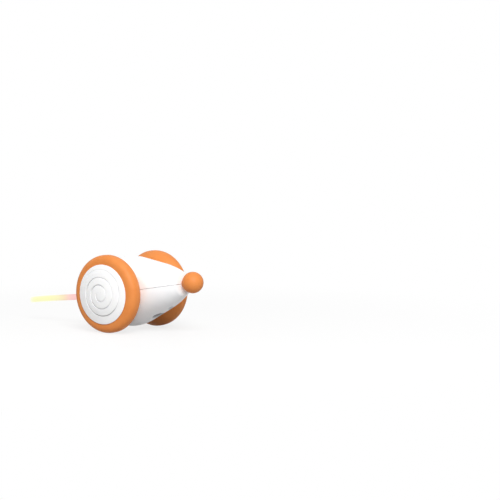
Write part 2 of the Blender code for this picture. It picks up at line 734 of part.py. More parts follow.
    def power_button(self):
        """Build the button, the switch and its board."""
        frame = self.button_frame()
        crown = BUTTON_CROWN_DEPTH
        back = self.button_back()
        seat = self.button_seat() + GAP
        edge = BUTTON_FLANGE / 2
        outline = ((0.0, crown), (BUTTON_RADIUS - edge, crown + edge / 2), (BUTTON_RADIUS, crown + edge),
                   (BUTTON_RADIUS, seat), (BUTTON_RADIUS + BUTTON_FLANGE, seat),
                   (BUTTON_RADIUS + BUTTON_FLANGE, back), (0.0, back))
        self.seat(self.part("power_button", turned_mesh("power_button", outline, BUTTON_SEGMENTS),
                            self.paint.button), frame)
        top = self.switch_top()
        plunger = ((0.0, back + GAP), (SWITCH_PLUNGER_RADIUS, back + GAP),
                   (SWITCH_PLUNGER_RADIUS, top + SWITCH_PLUNGER_BURIED), (0.0, top + SWITCH_PLUNGER_BURIED))
        self.seat(self.part("switch_plunger", turned_mesh("switch_plunger", plunger, SCREW_SEGMENTS),
                            self.paint.chip), frame)
        half = SWITCH_SIDE / 2
        case = bevelled_box("tact_switch", (-half, -half, top), (half, half, self.switch_back()), GAP, 1)
        switch = self.part("tact_switch", case, self.paint.chip)
        self.seat(switch, frame)
        well = bmesh.new()
        add_cylinder(well, SWITCH_PLUNGER_RADIUS + GAP, top - OVERRUN,
                     top + SWITCH_PLUNGER_BURIED + BUTTON_TRAVEL + GAP, segments=SCREW_SEGMENTS)
        well_cutter = self.cutter("switch_well", mesh_from("switch_well", well))
        self.seat(well_cutter, frame)
        add_boolean(switch, well_cutter, "DIFFERENCE")
        under = self.switch_back() + GAP
        length, width, thickness = SWITCH_BOARD
        board_mesh = box_mesh("switch_board", (-width / 2, -length / 2, under),
                              (width / 2, length / 2, under + thickness))
        board = self.part("switch_board", board_mesh, self.paint.board)
        self.seat(board, frame)

    def seat(self, thing, frame):
        """Place an object by a matrix in its parent's frame."""
        thing.matrix_local = frame
        smooth(thing.data)
        return thing

    # Counterweight

    def add_weight_rib(self, shape):
        """Add the rib that stands ahead of the counterweight."""
        half = WEIGHT_WIDTH / 2
        add_box(shape, (WEIGHT_FRONT + GAP, -half, -2 * BODY_RADIUS),
                (WEIGHT_FRONT + GAP + WEIGHT_RIB, half, WEIGHT_TOP))

    def counterweight(self):
        """Build the cast weight, which fills the belly behind the axle."""
        mesh = turned_mesh("counterweight", cavity_outline(BODY_WALL + GAP), CAVITY_SEGMENTS)
        mesh.transform(Matrix.Rotation(math.pi / 2, 4, "Y"))
        weight = self.part("counterweight", mesh, self.paint.steel)
        floor = -2 * BODY_RADIUS
        profile = ((WEIGHT_REAR, floor), (WEIGHT_FRONT, floor), (WEIGHT_FRONT, WEIGHT_TOP),
                   (WEIGHT_STEP, WEIGHT_TOP), (WEIGHT_STEP, WEIGHT_STEP_TOP), (WEIGHT_REAR, WEIGHT_STEP_TOP))
        shape = bmesh.new()
        add_prism(shape, profile, -WEIGHT_WIDTH / 2, WEIGHT_WIDTH / 2)
        bmesh.ops.transform(shape, matrix=Matrix.Rotation(math.pi / 2, 4, "X"), verts=list(shape.verts))
        block = self.cutter("weight_block", mesh_from("weight_block", shape))
        add_boolean(weight, block, "INTERSECT")
        bake(weight, self.parts)

    # Nose and tail

    def nose_ball(self):
        """Build the soft hollow ball with its stem and the flange that holds it in the shells."""
        centre = self.place.nose
        joint = math.asin(NOSE_STEM_RADIUS / NOSE_RADIUS)
        outside = [(0.0, centre + NOSE_RADIUS)]
        for step in range(1, NOSE_STEPS + 1):
            angle = (math.pi - joint) * step / NOSE_STEPS
            outside.append((NOSE_RADIUS * math.sin(angle), centre + NOSE_RADIUS * math.cos(angle)))
        flange_front = self.nose_seat() - GAP
        flange_back = flange_front - NOSE_FLANGE_THICKNESS
        stem = [(NOSE_STEM_RADIUS, flange_front), (NOSE_FLANGE_RADIUS, flange_front),
                (NOSE_FLANGE_RADIUS, flange_back), (NOSE_STEM_BORE, flange_back)]
        hollow_radius = NOSE_RADIUS - NOSE_WALL
        throat = math.asin(NOSE_STEM_BORE / hollow_radius)
        inside = []
        for step in range(NOSE_INNER_STEPS):
            angle = (math.pi - throat) * (NOSE_INNER_STEPS - step) / NOSE_INNER_STEPS
            inside.append((hollow_radius * math.sin(angle), centre + hollow_radius * math.cos(angle)))
        inside.append((0.0, centre + hollow_radius))
        mesh = turned_mesh("nose_ball", outside + stem + inside, NOSE_SEGMENTS)
        mesh.transform(Matrix.Rotation(math.pi / 2, 4, "Y"))
        self.part("nose_ball", mesh, self.paint.orange)

    def tail_point(self, share):
        """Return the tail's centre line in the axle's frame, from the plug to the tip."""
        start = -BODY_REAR_REACH + BODY_WALL
        root = Vector((start * math.cos(BODY_PITCH), start * math.sin(BODY_PITCH)))
        tip = Vector((-TAIL_END_X, -TAIL_END_DROP))
        reach = (tip - root).length / 3
        leave = root - reach * Vector((math.cos(BODY_PITCH), math.sin(BODY_PITCH)))
        arrive = tip + reach * Vector((math.cos(TAIL_SLOPE), math.sin(TAIL_SLOPE)))
        rest = 1.0 - share
        return (rest ** 3 * root + 3 * rest * rest * share * leave
                + 3 * rest * share * share * arrive + share ** 3 * tip)

    def tail(self):
        """Loft the tail's oval rings along its centre line, with the flange that holds it."""
        shape = bmesh.new()
        stations = []
        start = self.tail_point(0.0)
        forward = Vector((math.cos(BODY_PITCH), math.sin(BODY_PITCH)))
        flange_back = start + (self.tail_seat() + BODY_REAR_REACH - BODY_WALL) * forward
        for centre, grow in ((flange_back + TAIL_FLANGE_THICKNESS * forward, TAIL_FLANGE_RADIUS),
                             (flange_back, TAIL_FLANGE_RADIUS), (flange_back, None)):
            half = (grow, grow) if grow else (TAIL_WIDTH / 2, TAIL_HEIGHT / 2)
            stations.append((centre, forward, half))
        for step in range(TAIL_RINGS + 1):
            share = step / TAIL_RINGS
            ahead = self.tail_point(max(share - 1.0 / TAIL_RINGS, 0.0))
            behind = self.tail_point(min(share + 1.0 / TAIL_RINGS, 1.0))
            taper = 1.0 + (TAIL_TIP_SHARE - 1.0) * share
            half = (TAIL_WIDTH / 2 * taper, TAIL_HEIGHT / 2 * taper)
            stations.append((self.tail_point(share), (ahead - behind).normalized(), half))
        tip, direction, half = stations.pop()
        for share in TAIL_TIP_ROUND_SHARES:
            angle = share * math.pi / 2
            centre = tip + direction * half[1] * (1.0 - math.sin(angle))
            stations.append((centre, direction, (half[0] * math.cos(angle), half[1] * math.cos(angle))))
        rings = []
        for centre, direction, (across, upward) in stations:
            up = Vector((-direction.y, direction.x))
            ring = []
            for side in range(TAIL_SIDES):
                angle = math.tau * side / TAIL_SIDES
                lift = upward * math.sin(angle)
                ring.append(shape.verts.new((centre.x + up.x * lift, across * math.cos(angle),
                                             centre.y + up.y * lift)))
            rings.append(ring)
        for front, back in zip(rings, rings[1:]):
            for index in range(TAIL_SIDES):
                follow = (index + 1) % TAIL_SIDES
                shape.faces.new((front[index], front[follow], back[follow], back[index]))
        shape.faces.new(rings[0])
        shape.faces.new(rings[-1])
        bmesh.ops.recalc_face_normals(shape, faces=list(shape.faces))
        mesh = mesh_from("tail", shape)
        smooth(mesh)
        self.part("tail", mesh, self.paint.tail, self.axle)

    def tail_seat(self):
        """Return the rear face of the tail's flange, clear of the end of the hollow."""
        return cavity_back_at(TAIL_FLANGE_RADIUS) + GAP

    def light_board_x(self):
        """Return the rear face of the tail light's board."""
        return self.tail_seat() + TAIL_FLANGE_THICKNESS + GAP + LIGHT_DEPTH + GAP

    def tail_light(self):
        """Build the lamp that shines into the tail, and its board."""
        rear = self.light_board_x()
        depth, width, height = LIGHT_BOARD
        self.part("tail_light_board", box_mesh("tail_light_board", (rear, -width / 2, -height / 2),
                                               (rear + depth, width / 2, height / 2)), self.paint.board)
        half = LIGHT_SIDE / 2
        lamp = bevelled_box("tail_light", (rear - GAP - LIGHT_DEPTH, -half, -half),
                            (rear - GAP, half, half), GAP, 1)
        self.part("tail_light", lamp, self.paint.lamp)

    # Electronics

    def main_board(self):
        """Build the main board with its peg holes."""
        level = self.board_level()
        half = BOARD_WIDTH / 2
        shape = bmesh.new()
        outline = []
        corners = ((BOARD_REAR + BOARD_LENGTH - BOARD_CORNER, half - BOARD_CORNER, 0.0),
                   (BOARD_REAR + BOARD_CORNER, half - BOARD_CORNER, math.pi / 2),
                   (BOARD_REAR + BOARD_CORNER, -half + BOARD_CORNER, math.pi),
                   (BOARD_REAR + BOARD_LENGTH - BOARD_CORNER, -half + BOARD_CORNER, 1.5 * math.pi))
        for x, y, start in corners:
            outline += arc((x, y), BOARD_CORNER, start, start + math.pi / 2, 3)
        add_prism(shape, outline, level, level + BOARD_THICKNESS)
        board = self.part("main_board", mesh_from("main_board", shape), self.paint.board)
        holes = bmesh.new()
        for x, y in self.standoffs():
            add_cylinder(holes, STANDOFF_PEG_RADIUS + GAP, level - OVERRUN, level + BOARD_THICKNESS + OVERRUN,
                         (x, y), SCREW_SEGMENTS)
        add_boolean(board, self.cutter("board_holes", mesh_from("board_holes", holes)), "DIFFERENCE")

    def on_board(self, name, size, along, material):
        """Place a chip on the main board."""
        floor = self.board_level() + BOARD_THICKNESS + GAP
        length, width, height = size
        self.part(name, bevelled_box(name, (along - length / 2, -width / 2, floor),
                                     (along + length / 2, width / 2, floor + height), GAP / 2, 1), material)

    def socket_outline(self, grow):
        """Return the rounded outline of the charging socket, grown by a margin."""
        half_width = SOCKET[1] / 2 + grow
        half_height = SOCKET[2] / 2 + grow
        run = half_width - half_height
        points = arc((run, 0.0), half_height, -math.pi / 2, math.pi / 2, 6)
        points += arc((-run, 0.0), half_height, math.pi / 2, 1.5 * math.pi, 6)
        return points

    def socket_frame(self):
        """Return the frame of the charging socket: Z runs out of the mouth, towards the tail."""
        level = self.board_level() + BOARD_THICKNESS + GAP + SOCKET[2] / 2
        turn = Matrix(((0.0, 0.0, -1.0), (1.0, 0.0, 0.0), (0.0, -1.0, 0.0))).to_4x4()
        return Matrix.Translation((SOCKET_MOUTH, 0.0, level)) @ turn

    def socket_opening(self):
        """Return the opening of the upper shell around the charging socket."""
        shape = bmesh.new()
        add_prism(shape, self.socket_outline(SOCKET_OPENING_CLEARANCE), -SOCKET[2], BODY_REAR_REACH)
        bmesh.ops.transform(shape, matrix=self.socket_frame(), verts=list(shape.verts))
        return shape

    def charging_socket(self):
        """Build the charging socket: an open metal shell with its tongue inside."""
        shape = bmesh.new()
        add_prism(shape, self.socket_outline(0.0), -SOCKET[0], 0.0)
        socket = self.part("charging_socket", mesh_from("charging_socket", shape), self.paint.steel)
        self.seat(socket, self.socket_frame())
        hollow = bmesh.new()
        add_prism(hollow, self.socket_outline(-SOCKET_WALL), -SOCKET_CAVITY_DEPTH, OVERRUN)
        hollow_cutter = self.cutter("socket_hollow", mesh_from("socket_hollow", hollow))
        self.seat(hollow_cutter, self.socket_frame())
        tongue_half = SOCKET[1] / 2 - SOCKET[2] / 2 - SOCKET_WALL
        tongue = self.cutter("socket_tongue", box_mesh(
            "socket_tongue", (-tongue_half, -SOCKET_WALL, -SOCKET_CAVITY_DEPTH - OVERRUN),
            (tongue_half, SOCKET_WALL, -SOCKET_WALL)))
        self.seat(tongue, self.socket_frame())
        add_boolean(hollow_cutter, tongue, "DIFFERENCE")
        add_boolean(socket, hollow_cutter, "DIFFERENCE")

    def battery(self):
        """Build the flat cell under the main board."""
        length, width, height = BATTERY
        low = (BATTERY_PLACE - length / 2, -width / 2, BATTERY_UNDERSIDE)
        high = (BATTERY_PLACE + length / 2, width / 2, BATTERY_UNDERSIDE + height)
        self.part("battery", bevelled_box("battery", low, high, BATTERY_EDGE), self.paint.battery)

    # Drive trains

    def turned_part(self, name, outline, segments, side, material, centre=(0.0, 0.0), parent=None):
        """Add a turned piece whose axis runs outboard through a body place."""
        mesh = turned_mesh(name, outline, segments)
        thing = self.part(name, mesh, material, parent)
        x, z = centre
        thing.matrix_local = Matrix.Translation((x, 0.0, z)) @ side.outward()
        return thing

    def gear_angle(self, side, start, end):
        """Return the direction from one body place to another, in an outward-turned piece's plane."""
        a, b = side.local(start), side.local(end)
        return math.atan2(b[1] - a[1], b[0] - a[0])

    def bored(self, thing, name, radius, low, high, side, centre):
        """Cut a round bore along an outboard axis."""
        shape = bmesh.new()
        add_cylinder(shape, radius, low - OVERRUN, high + OVERRUN, segments=SCREW_SEGMENTS)
        bore = self.cutter(name, mesh_from(name, shape))
        bore.matrix_local = Matrix.Translation((centre[0], 0.0, centre[1])) @ side.outward()
        add_boolean(thing, bore, "DIFFERENCE")

    def drive_train(self, side):
        """Build the gears, shafts, plates and motor of one side."""
        spot = self.place
        hub = (0.0, 0.0)
        to_idler = self.gear_angle(side, hub, side.idler)
        to_pinion = self.gear_angle(side, side.idler, side.pinion)
        # Output gear on the wheel shaft
        shape = bmesh.new()
        add_prism(shape, gear_outline(DRIVE_MODULE, OUTPUT_TEETH, to_idler), spot.second_low, spot.second_high)
        output = self.part(side.name + "_output_gear", mesh_from("output_gear", shape), self.paint.gear)
        output.matrix_local = side.outward()
        self.bored(output, side.name + "_output_bore", SHAFT_RADIUS + GAP, spot.second_low, spot.second_high,
                   side, hub)
        # Compound idler gear on its pin
        shape = bmesh.new()
        add_prism(shape, gear_outline(PINION_MODULE, IDLER_TEETH, to_pinion), spot.first_low, spot.first_high)
        idler = self.part(side.name + "_idler_gear", mesh_from("idler_gear", shape), self.paint.gear)
        centre = Matrix.Translation((side.idler[0], 0.0, side.idler[1])) @ side.outward()
        idler.matrix_local = centre
        shape = bmesh.new()
        small_phase = to_idler + math.pi + math.pi / IDLER_PINION_TEETH
        add_prism(shape, gear_outline(DRIVE_MODULE, IDLER_PINION_TEETH, small_phase),
                  spot.first_high - GEAR_WIDTH / 2, spot.second_high)
        small = self.cutter(side.name + "_idler_pinion", mesh_from("idler_pinion", shape))
        small.matrix_local = centre
        add_boolean(idler, small, "UNION")
        self.bored(idler, side.name + "_idler_bore", IDLER_PIN_RADIUS + GAP, spot.first_low, spot.second_high,
                   side, side.idler)
        pin = ((0.0, spot.plate_inner), (IDLER_PIN_RADIUS, spot.plate_inner),
               (IDLER_PIN_RADIUS, spot.cover_outer), (0.0, spot.cover_outer))
        self.turned_part(side.name + "_idler_pin", pin, SCREW_SEGMENTS, side, self.paint.steel, side.idler)
        self.motor(side, to_pinion)
        self.gear_frame(side)
        self.wheel_shaft(side)

    def motor(self, side, to_pinion):
        """Build the flat-sided motor, and the pinion with the motor's shaft."""
        spot = self.place
        front = spot.plate_inner - GAP
        outline = []
        flat = math.acos(MOTOR_WIDTH / MOTOR_HEIGHT)
        for start in (flat, math.pi + flat):
            outline += arc((0.0, 0.0), MOTOR_HEIGHT / 2, start, start + math.pi - 2 * flat, 6)
        shape = bmesh.new()
        add_prism(shape, outline, front - MOTOR_LENGTH, front)
        motor = self.part(side.name + "_motor", mesh_from("motor", shape), self.paint.steel)
        centre = Matrix.Translation((side.pinion[0], 0.0, side.pinion[1])) @ side.outward()
        motor.matrix_local = centre
        shape = bmesh.new()
        add_cylinder(shape, MOTOR_NOSE_RADIUS, front - OVERRUN, spot.plate_outer, segments=SCREW_SEGMENTS)
        nose = self.cutter(side.name + "_motor_nose", mesh_from("motor_nose", shape))
        nose.matrix_local = centre
        add_boolean(motor, nose, "UNION")
        shape = bmesh.new()
        add_cylinder(shape, MOTOR_SHAFT_RADIUS + GAP, front - MOTOR_SHAFT_BORE_DEPTH,
                     spot.plate_outer + OVERRUN, segments=SCREW_SEGMENTS)
        bore = self.cutter(side.name + "_motor_bore", mesh_from("motor_bore", shape))
        bore.matrix_local = centre
        add_boolean(motor, bore, "DIFFERENCE")
        shape = bmesh.new()
        phase = to_pinion + math.pi + math.pi / PINION_TEETH
        add_prism(shape, gear_outline(PINION_MODULE, PINION_TEETH, phase), spot.first_low, spot.first_high)
        pinion = self.part(side.name + "_motor_pinion", mesh_from("motor_pinion", shape), self.paint.bronze)
        pinion.matrix_local = centre
        shape = bmesh.new()
        add_cylinder(shape, MOTOR_SHAFT_RADIUS, front - MOTOR_SHAFT_BORE_DEPTH + GAP,
                     spot.first_high - GEAR_WIDTH / 2, segments=SCREW_SEGMENTS)
        shaft = self.cutter(side.name + "_motor_shaft", mesh_from("motor_shaft", shape))
        shaft.matrix_local = centre
        add_boolean(pinion, shaft, "UNION")

    def plate(self, eyes, low, high):
        """Return a plate whose outline is drawn round a set of eyes."""
        shape = bmesh.new()
        for (x, y), radius in eyes:
            add_cylinder(shape, radius, low, high, (x, y), SCREW_SEGMENTS)
        hull = bmesh.ops.convex_hull(shape, input=list(shape.verts), use_existing_faces=False)
        inner = [item for item in hull["geom_interior"] + hull["geom_unused"]
                 if isinstance(item, bmesh.types.BMVert)]
        hull_faces = {item for item in hull["geom"] if isinstance(item, bmesh.types.BMFace)}
        spare = [face for face in shape.faces if face not in hull_faces]
        bmesh.ops.delete(shape, geom=spare, context="FACES_ONLY")
        bmesh.ops.delete(shape, geom=[vert for vert in set(inner) if vert.is_valid], context="VERTS")
        bmesh.ops.delete(shape, geom=[edge for edge in shape.edges if not edge.link_faces], context="EDGES")
        bmesh.ops.dissolve_limit(shape, angle_limit=math.radians(1.0), verts=list(shape.verts),
                                 edges=list(shape.edges))
        bmesh.ops.recalc_face_normals(shape, faces=list(shape.faces))
        return shape

    def gear_frame(self, side):
        """Build the plate with its posts, and the cover that closes the train."""
        spot = self.place
        posts = [side.local(place) for place in side.posts]
        idler = side.local(side.idler)
        pinion = side.local(side.pinion)
        eyes = [(post, POST_EYE) for post in posts] + [(pinion, MOTOR_EYE)]
        frame = self.part(side.name + "_gear_frame",
                          mesh_from("gear_frame", self.plate(eyes, spot.plate_inner, spot.plate_outer)),
                          self.paint.frame)
        frame.matrix_local = side.outward()
        shape = bmesh.new()
        peg_end = spot.cover_outer + PEG_PROUD
        shoulder = spot.cover_inner - GAP
        root = spot.plate_inner + FRAME_PLATE / 2
        outline = ((0.0, peg_end), (PEG_RADIUS, peg_end), (PEG_RADIUS, shoulder),
                   (POST_RADIUS, shoulder), (POST_RADIUS, root), (0.0, root))
        for post in posts:
            add_turned_at(shape, outline, post, SCREW_SEGMENTS)
        columns = self.cutter(side.name + "_posts", mesh_from("posts", shape))
        columns.matrix_local = side.outward()
        add_boolean(frame, columns, "UNION")
        shape = bmesh.new()
        for centre, radius in (((0.0, 0.0), SHAFT_JOURNAL_RADIUS), (idler, IDLER_PIN_RADIUS),
                               (pinion, MOTOR_NOSE_RADIUS)):
            add_cylinder(shape, radius + GAP, spot.plate_inner - OVERRUN, spot.plate_outer + OVERRUN, centre,
                         SCREW_SEGMENTS)
        holes = self.cutter(side.name + "_frame_holes", mesh_from("frame_holes", shape))
        holes.matrix_local = side.outward()
        add_boolean(frame, holes, "DIFFERENCE")
        eyes = [(post, POST_EYE) for post in posts] + [(idler, IDLER_EYE)]
        cover = self.part(side.name + "_gear_cover",
                          mesh_from("gear_cover", self.plate(eyes, spot.cover_inner, spot.cover_outer)),
                          self.paint.frame)
        cover.matrix_local = side.outward()
        shape = bmesh.new()
        for centre, radius in [((0.0, 0.0), SHAFT_RADIUS), (idler, IDLER_PIN_RADIUS)] + \
                [(post, PEG_RADIUS) for post in posts]:
            add_cylinder(shape, radius + GAP, spot.cover_inner - OVERRUN, spot.cover_outer + OVERRUN, centre,
                         SCREW_SEGMENTS)
        holes = self.cutter(side.name + "_cover_holes", mesh_from("cover_holes", shape))
        holes.matrix_local = side.outward()
        add_boolean(cover, holes, "DIFFERENCE")

    def wheel_shaft(self, side):
        """Build the wheel's shaft and the bushing that carries it in the shells."""
        spot = self.place
        step = spot.first_high + GEAR_STAGE_GAP / 2
        bore = SCREW_SHANK_RADIUS + GAP
        depth = WHEEL_SCREW_LENGTH + GAP
        outline = ((0.0, spot.plate_inner), (SHAFT_JOURNAL_RADIUS, spot.plate_inner),
                   (SHAFT_JOURNAL_RADIUS, step), (SHAFT_RADIUS, step), (SHAFT_RADIUS, spot.shaft_end),
                   (bore, spot.shaft_end), (bore, spot.shaft_end - depth), (0.0, spot.shaft_end - depth))
        self.turned_part(side.name + "_wheel_shaft", outline, SHAFT_SEGMENTS, side, self.paint.steel)
        inner = SHAFT_RADIUS + GAP
        outer = inner + BUSHING_WALL
        low = spot.cover_outer + GAP
        flange = low + BUSHING_FLANGE_THICKNESS
        high = spot.body_half_width + GAP
        bushing = ((inner, low), (outer + BUSHING_FLANGE, low), (outer + BUSHING_FLANGE, flange),
                   (outer, flange), (outer, high), (inner, high), (inner, low))
        self.turned_part(side.name + "_axle_bushing", bushing, SHAFT_SEGMENTS, side, self.paint.bronze)

    # Wheels, built outboard from the tyre's middle plane

    def wheel_part(self, side, name, outline, segments, material):
        """Add one turned piece of a wheel."""
        mesh = turned_mesh(name, outline, segments)
        thing = self.part(side.name + "_" + name, mesh, material, self.axle)
        thing.matrix_local = self.wheel_frame(side)
        return thing

    def wheel_frame(self, side):
        """Return the frame of a wheel: origin in the tyre's middle plane, Z outboard."""
        return Matrix.Translation((0.0, side.sign * TRACK / 2, 0.0)) @ side.outward()

    def tyre_outline(self):
        """Return the tyre's section: a flat crown, rounded shoulders and a bead on the rim."""
        spot = self.place
        flat = 1.0 / math.cos(math.pi / TYRE_SEGMENTS)
        crown = TYRE_CROWN / 2
        outline = []
        shoulders = ((TYRE_OUTER_BULGE, TYRE_OUTER_POWER, 1.0), (TYRE_INNER_BULGE, TYRE_INNER_POWER, -1.0))
        for bulge, power, way in shoulders:
            curve = []
            for step in range(TYRE_STEPS + 1):
                angle = math.pi / 2 * step / TYRE_STEPS
                rise = TYRE_SHOULDER_HEIGHT * max(math.cos(angle), 0.0) ** (2.0 / power)
                lean = (bulge - crown) * math.sin(angle) ** (2.0 / power)
                curve.append(((spot.tyre_waist + rise) * flat, way * (crown + lean)))
            outline += list(reversed(curve)) if way > 0 else curve
        seat = RIM_FLANGE_HEIGHT + GAP
        inner_end = -TYRE_INNER_BULGE + TYRE_FLANGE_SEAT
        outline += [((spot.tyre_bore + seat), -TYRE_INNER_BULGE), ((spot.tyre_bore + seat), inner_end),
                    (spot.tyre_bore, inner_end), (spot.tyre_bore, spot.rim_outer_end - 2 * GAP),
                    (spot.tyre_bore + 2 * GAP, spot.rim_outer_end), outline[0]]
        return outline

    def rim_outline(self):
        """Return the rim's section: drum, inner flange, web and hub boss with the screw seat."""
        spot = self.place
        flange_in = -TYRE_INNER_BULGE
        flange_out = flange_in + RIM_FLANGE_WIDTH
        drum_inside = spot.rim_radius - RIM_WALL
        screw_hole = SCREW_SHANK_RADIUS + GAP
        flange = spot.rim_radius + RIM_FLANGE_HEIGHT
        return [(spot.rim_radius, spot.rim_outer_end), (spot.rim_radius, flange_out),
                (flange, flange_out), (flange, flange_in),
                (drum_inside, flange_in), (drum_inside, spot.web_low), (RIM_BOSS_RADIUS, spot.web_low),
                (RIM_BOSS_RADIUS, spot.boss_inner_end), (spot.shaft_bore, spot.boss_inner_end),
                (spot.shaft_bore, spot.web_low), (screw_hole, spot.web_low), (screw_hole, spot.web_high),
                (drum_inside, spot.web_high), (drum_inside, spot.rim_outer_end),
                (spot.rim_radius, spot.rim_outer_end)]

    def cap_height(self, radius):
        """Return the height of the hub cap's domed face at a radius."""
        share = radius / HUB_CAP_RADIUS
        return HUB_CAP_EDGE + HUB_CAP_RISE * (1.0 - share * share)

    def cap_outline(self):
        """Return the hub cap's section: domed face, thin edge and the skirt that snaps into the rim."""
        spot = self.place
        skirt_outer = spot.rim_radius - RIM_WALL - GAP
        skirt_inner = skirt_outer - HUB_CAP_SKIRT_WALL
        skirt_end = spot.cap_back - HUB_CAP_SKIRT
        outline = []
        for step in range(HUB_CAP_STEPS + 1):
            radius = HUB_CAP_RADIUS * step / HUB_CAP_STEPS
            outline.append((radius, self.cap_height(radius)))
        outline += [(HUB_CAP_RADIUS, spot.cap_back), (skirt_outer, spot.cap_back), (skirt_outer, skirt_end),
                    (skirt_inner, skirt_end)]
        for step in range(HUB_CAP_BACK_STEPS, -1, -1):
            radius = skirt_inner * step / HUB_CAP_BACK_STEPS
            outline.append((radius, self.cap_height(radius) - HUB_CAP_WALL))
        return outline

    def spiral_cutter(self, side):
        """Return a square bar wound in a spiral, whose lower edge cuts a V groove in the hub cap."""
        shape = bmesh.new()
        rings = []
        start = SPIRAL_START ** SPIRAL_SPREAD
        end = (SPIRAL_START + SPIRAL_PITCH * SPIRAL_TURNS) ** SPIRAL_SPREAD
        for step in range(SPIRAL_STEPS + 1):
            radius = (start + (end - start) * step / SPIRAL_STEPS) ** (1.0 / SPIRAL_SPREAD)
            turn = (radius - SPIRAL_START) / SPIRAL_PITCH
            # Seen from outboard the groove widens counter-clockwise on the right wheel
            angle = SPIRAL_START_ANGLE - side.sign * math.tau * turn
            middle = self.cap_height(radius)
            ring = []
            for along, lift in ((-1.0, 0.0), (0.0, -1.0), (1.0, 0.0), (0.0, 1.0)):
                reach = radius + along * SPIRAL_GROOVE
                ring.append(shape.verts.new((reach * math.cos(angle), reach * math.sin(angle),
                                             middle + lift * SPIRAL_GROOVE)))
            rings.append(ring)
        for first, second in zip(rings, rings[1:]):
            for index in range(4):
                follow = (index + 1) % 4
                shape.faces.new((first[index], first[follow], second[follow], second[index]))
        shape.faces.new(rings[0])
        shape.faces.new(rings[-1])
        bmesh.ops.recalc_face_normals(shape, faces=list(shape.faces))
        return self.cutter(side.name + "_spiral", mesh_from("spiral", shape), self.axle)

    def wheel(self, side):
        """Build the tyre, rim, hub cap and screw of one wheel."""
        spot = self.place
        self.wheel_part(side, "tyre", self.tyre_outline(), TYRE_SEGMENTS, self.paint.orange)
        self.wheel_part(side, "wheel_rim", self.rim_outline(), RIM_SEGMENTS, self.paint.cap)
        cap = self.wheel_part(side, "hub_cap", self.cap_outline(), HUB_CAP_SEGMENTS, self.paint.cap)
        spiral = self.spiral_cutter(side)
        spiral.matrix_local = self.wheel_frame(side)
        add_boolean(cap, spiral, "DIFFERENCE")
        seat = spot.web_high + GAP
        outline = screw_outline(spot.web_low - WHEEL_SCREW_LENGTH, seat)
        self.wheel_part(side, "wheel_screw", outline, SCREW_SEGMENTS, self.paint.steel)

    def shell_screws(self):
        """Build the screws that close the body from the belly."""
        names = ("rear", "side", "front")
        for name, (x, y) in zip(names, SHELL_SCREW_PLACES):
            head = -SHELL_SCREW_HEAD_DEPTH
            outline = [(radius, -height) for radius, height in screw_outline(-self.screw_tip(), -head)]
            mesh = turned_mesh("shell_screw_" + name, outline, SCREW_SEGMENTS)
            mesh.transform(Matrix.Translation((x, y, 0.0)))
            self.part("shell_screw_" + name, mesh, self.paint.steel)

    def build(self):
        """Build the whole toy."""
        self.upper_shell()
        self.lower_shell()
        self.nose_ball()
        self.tail()
        self.tail_light()
        self.main_board()
        self.on_board("controller_chip", CONTROLLER_CHIP, CONTROLLER_PLACE, self.paint.chip)
        self.on_board("motor_driver_chip", DRIVER_CHIP, DRIVER_PLACE, self.paint.chip)
        self.charging_socket()
        self.battery()
        self.counterweight()
        self.power_button()
        self.shell_screws()
        for side in self.sides:
            self.drive_train(side)
            self.wheel(side)


def add_turned_at(shape, outline, centre, segments):
    """Add a turned solid about an upright axis through a place."""
    piece = bmesh.new()
    add_turned(piece, outline, segments)
    bmesh.ops.translate(piece, verts=list(piece.verts), vec=(centre[0], centre[1], 0.0))
    mesh = mesh_from("turned", piece)
    shape.from_mesh(mesh)
    bpy.data.meshes.remove(mesh)


def screw_outline(tip, seat):
    """Return the outline of a pan-head screw from its tip up to its head."""
    crown = seat + SCREW_HEAD_HEIGHT
    edge = SCREW_HEAD_HEIGHT / 3
    return [(0.0, crown), (SCREW_HEAD_RADIUS - edge, crown), (SCREW_HEAD_RADIUS, crown - edge),
            (SCREW_HEAD_RADIUS, seat), (SCREW_SHANK_RADIUS, seat),
            (SCREW_SHANK_RADIUS, tip + SCREW_SHANK_RADIUS), (0.0, tip)]


if __name__ == "__main__":
    Toy().build()
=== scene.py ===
"""Looks of the robotic mouse cat toy: fine meshes, node materials, studio and camera.

Frame: metres, +X towards the nose, +Y to the toy's left, +Z up, the same as the CAD model's. The body
has its own tilted frame on the wheel axle: X along the body, Z square to the shells' parting plane.
"""

import json
import logging
import math
from dataclasses import dataclass, field
from enum import Enum
from functools import cache
from typing import Iterable, Sequence

import bmesh
import bpy
from mathutils import Matrix, Vector

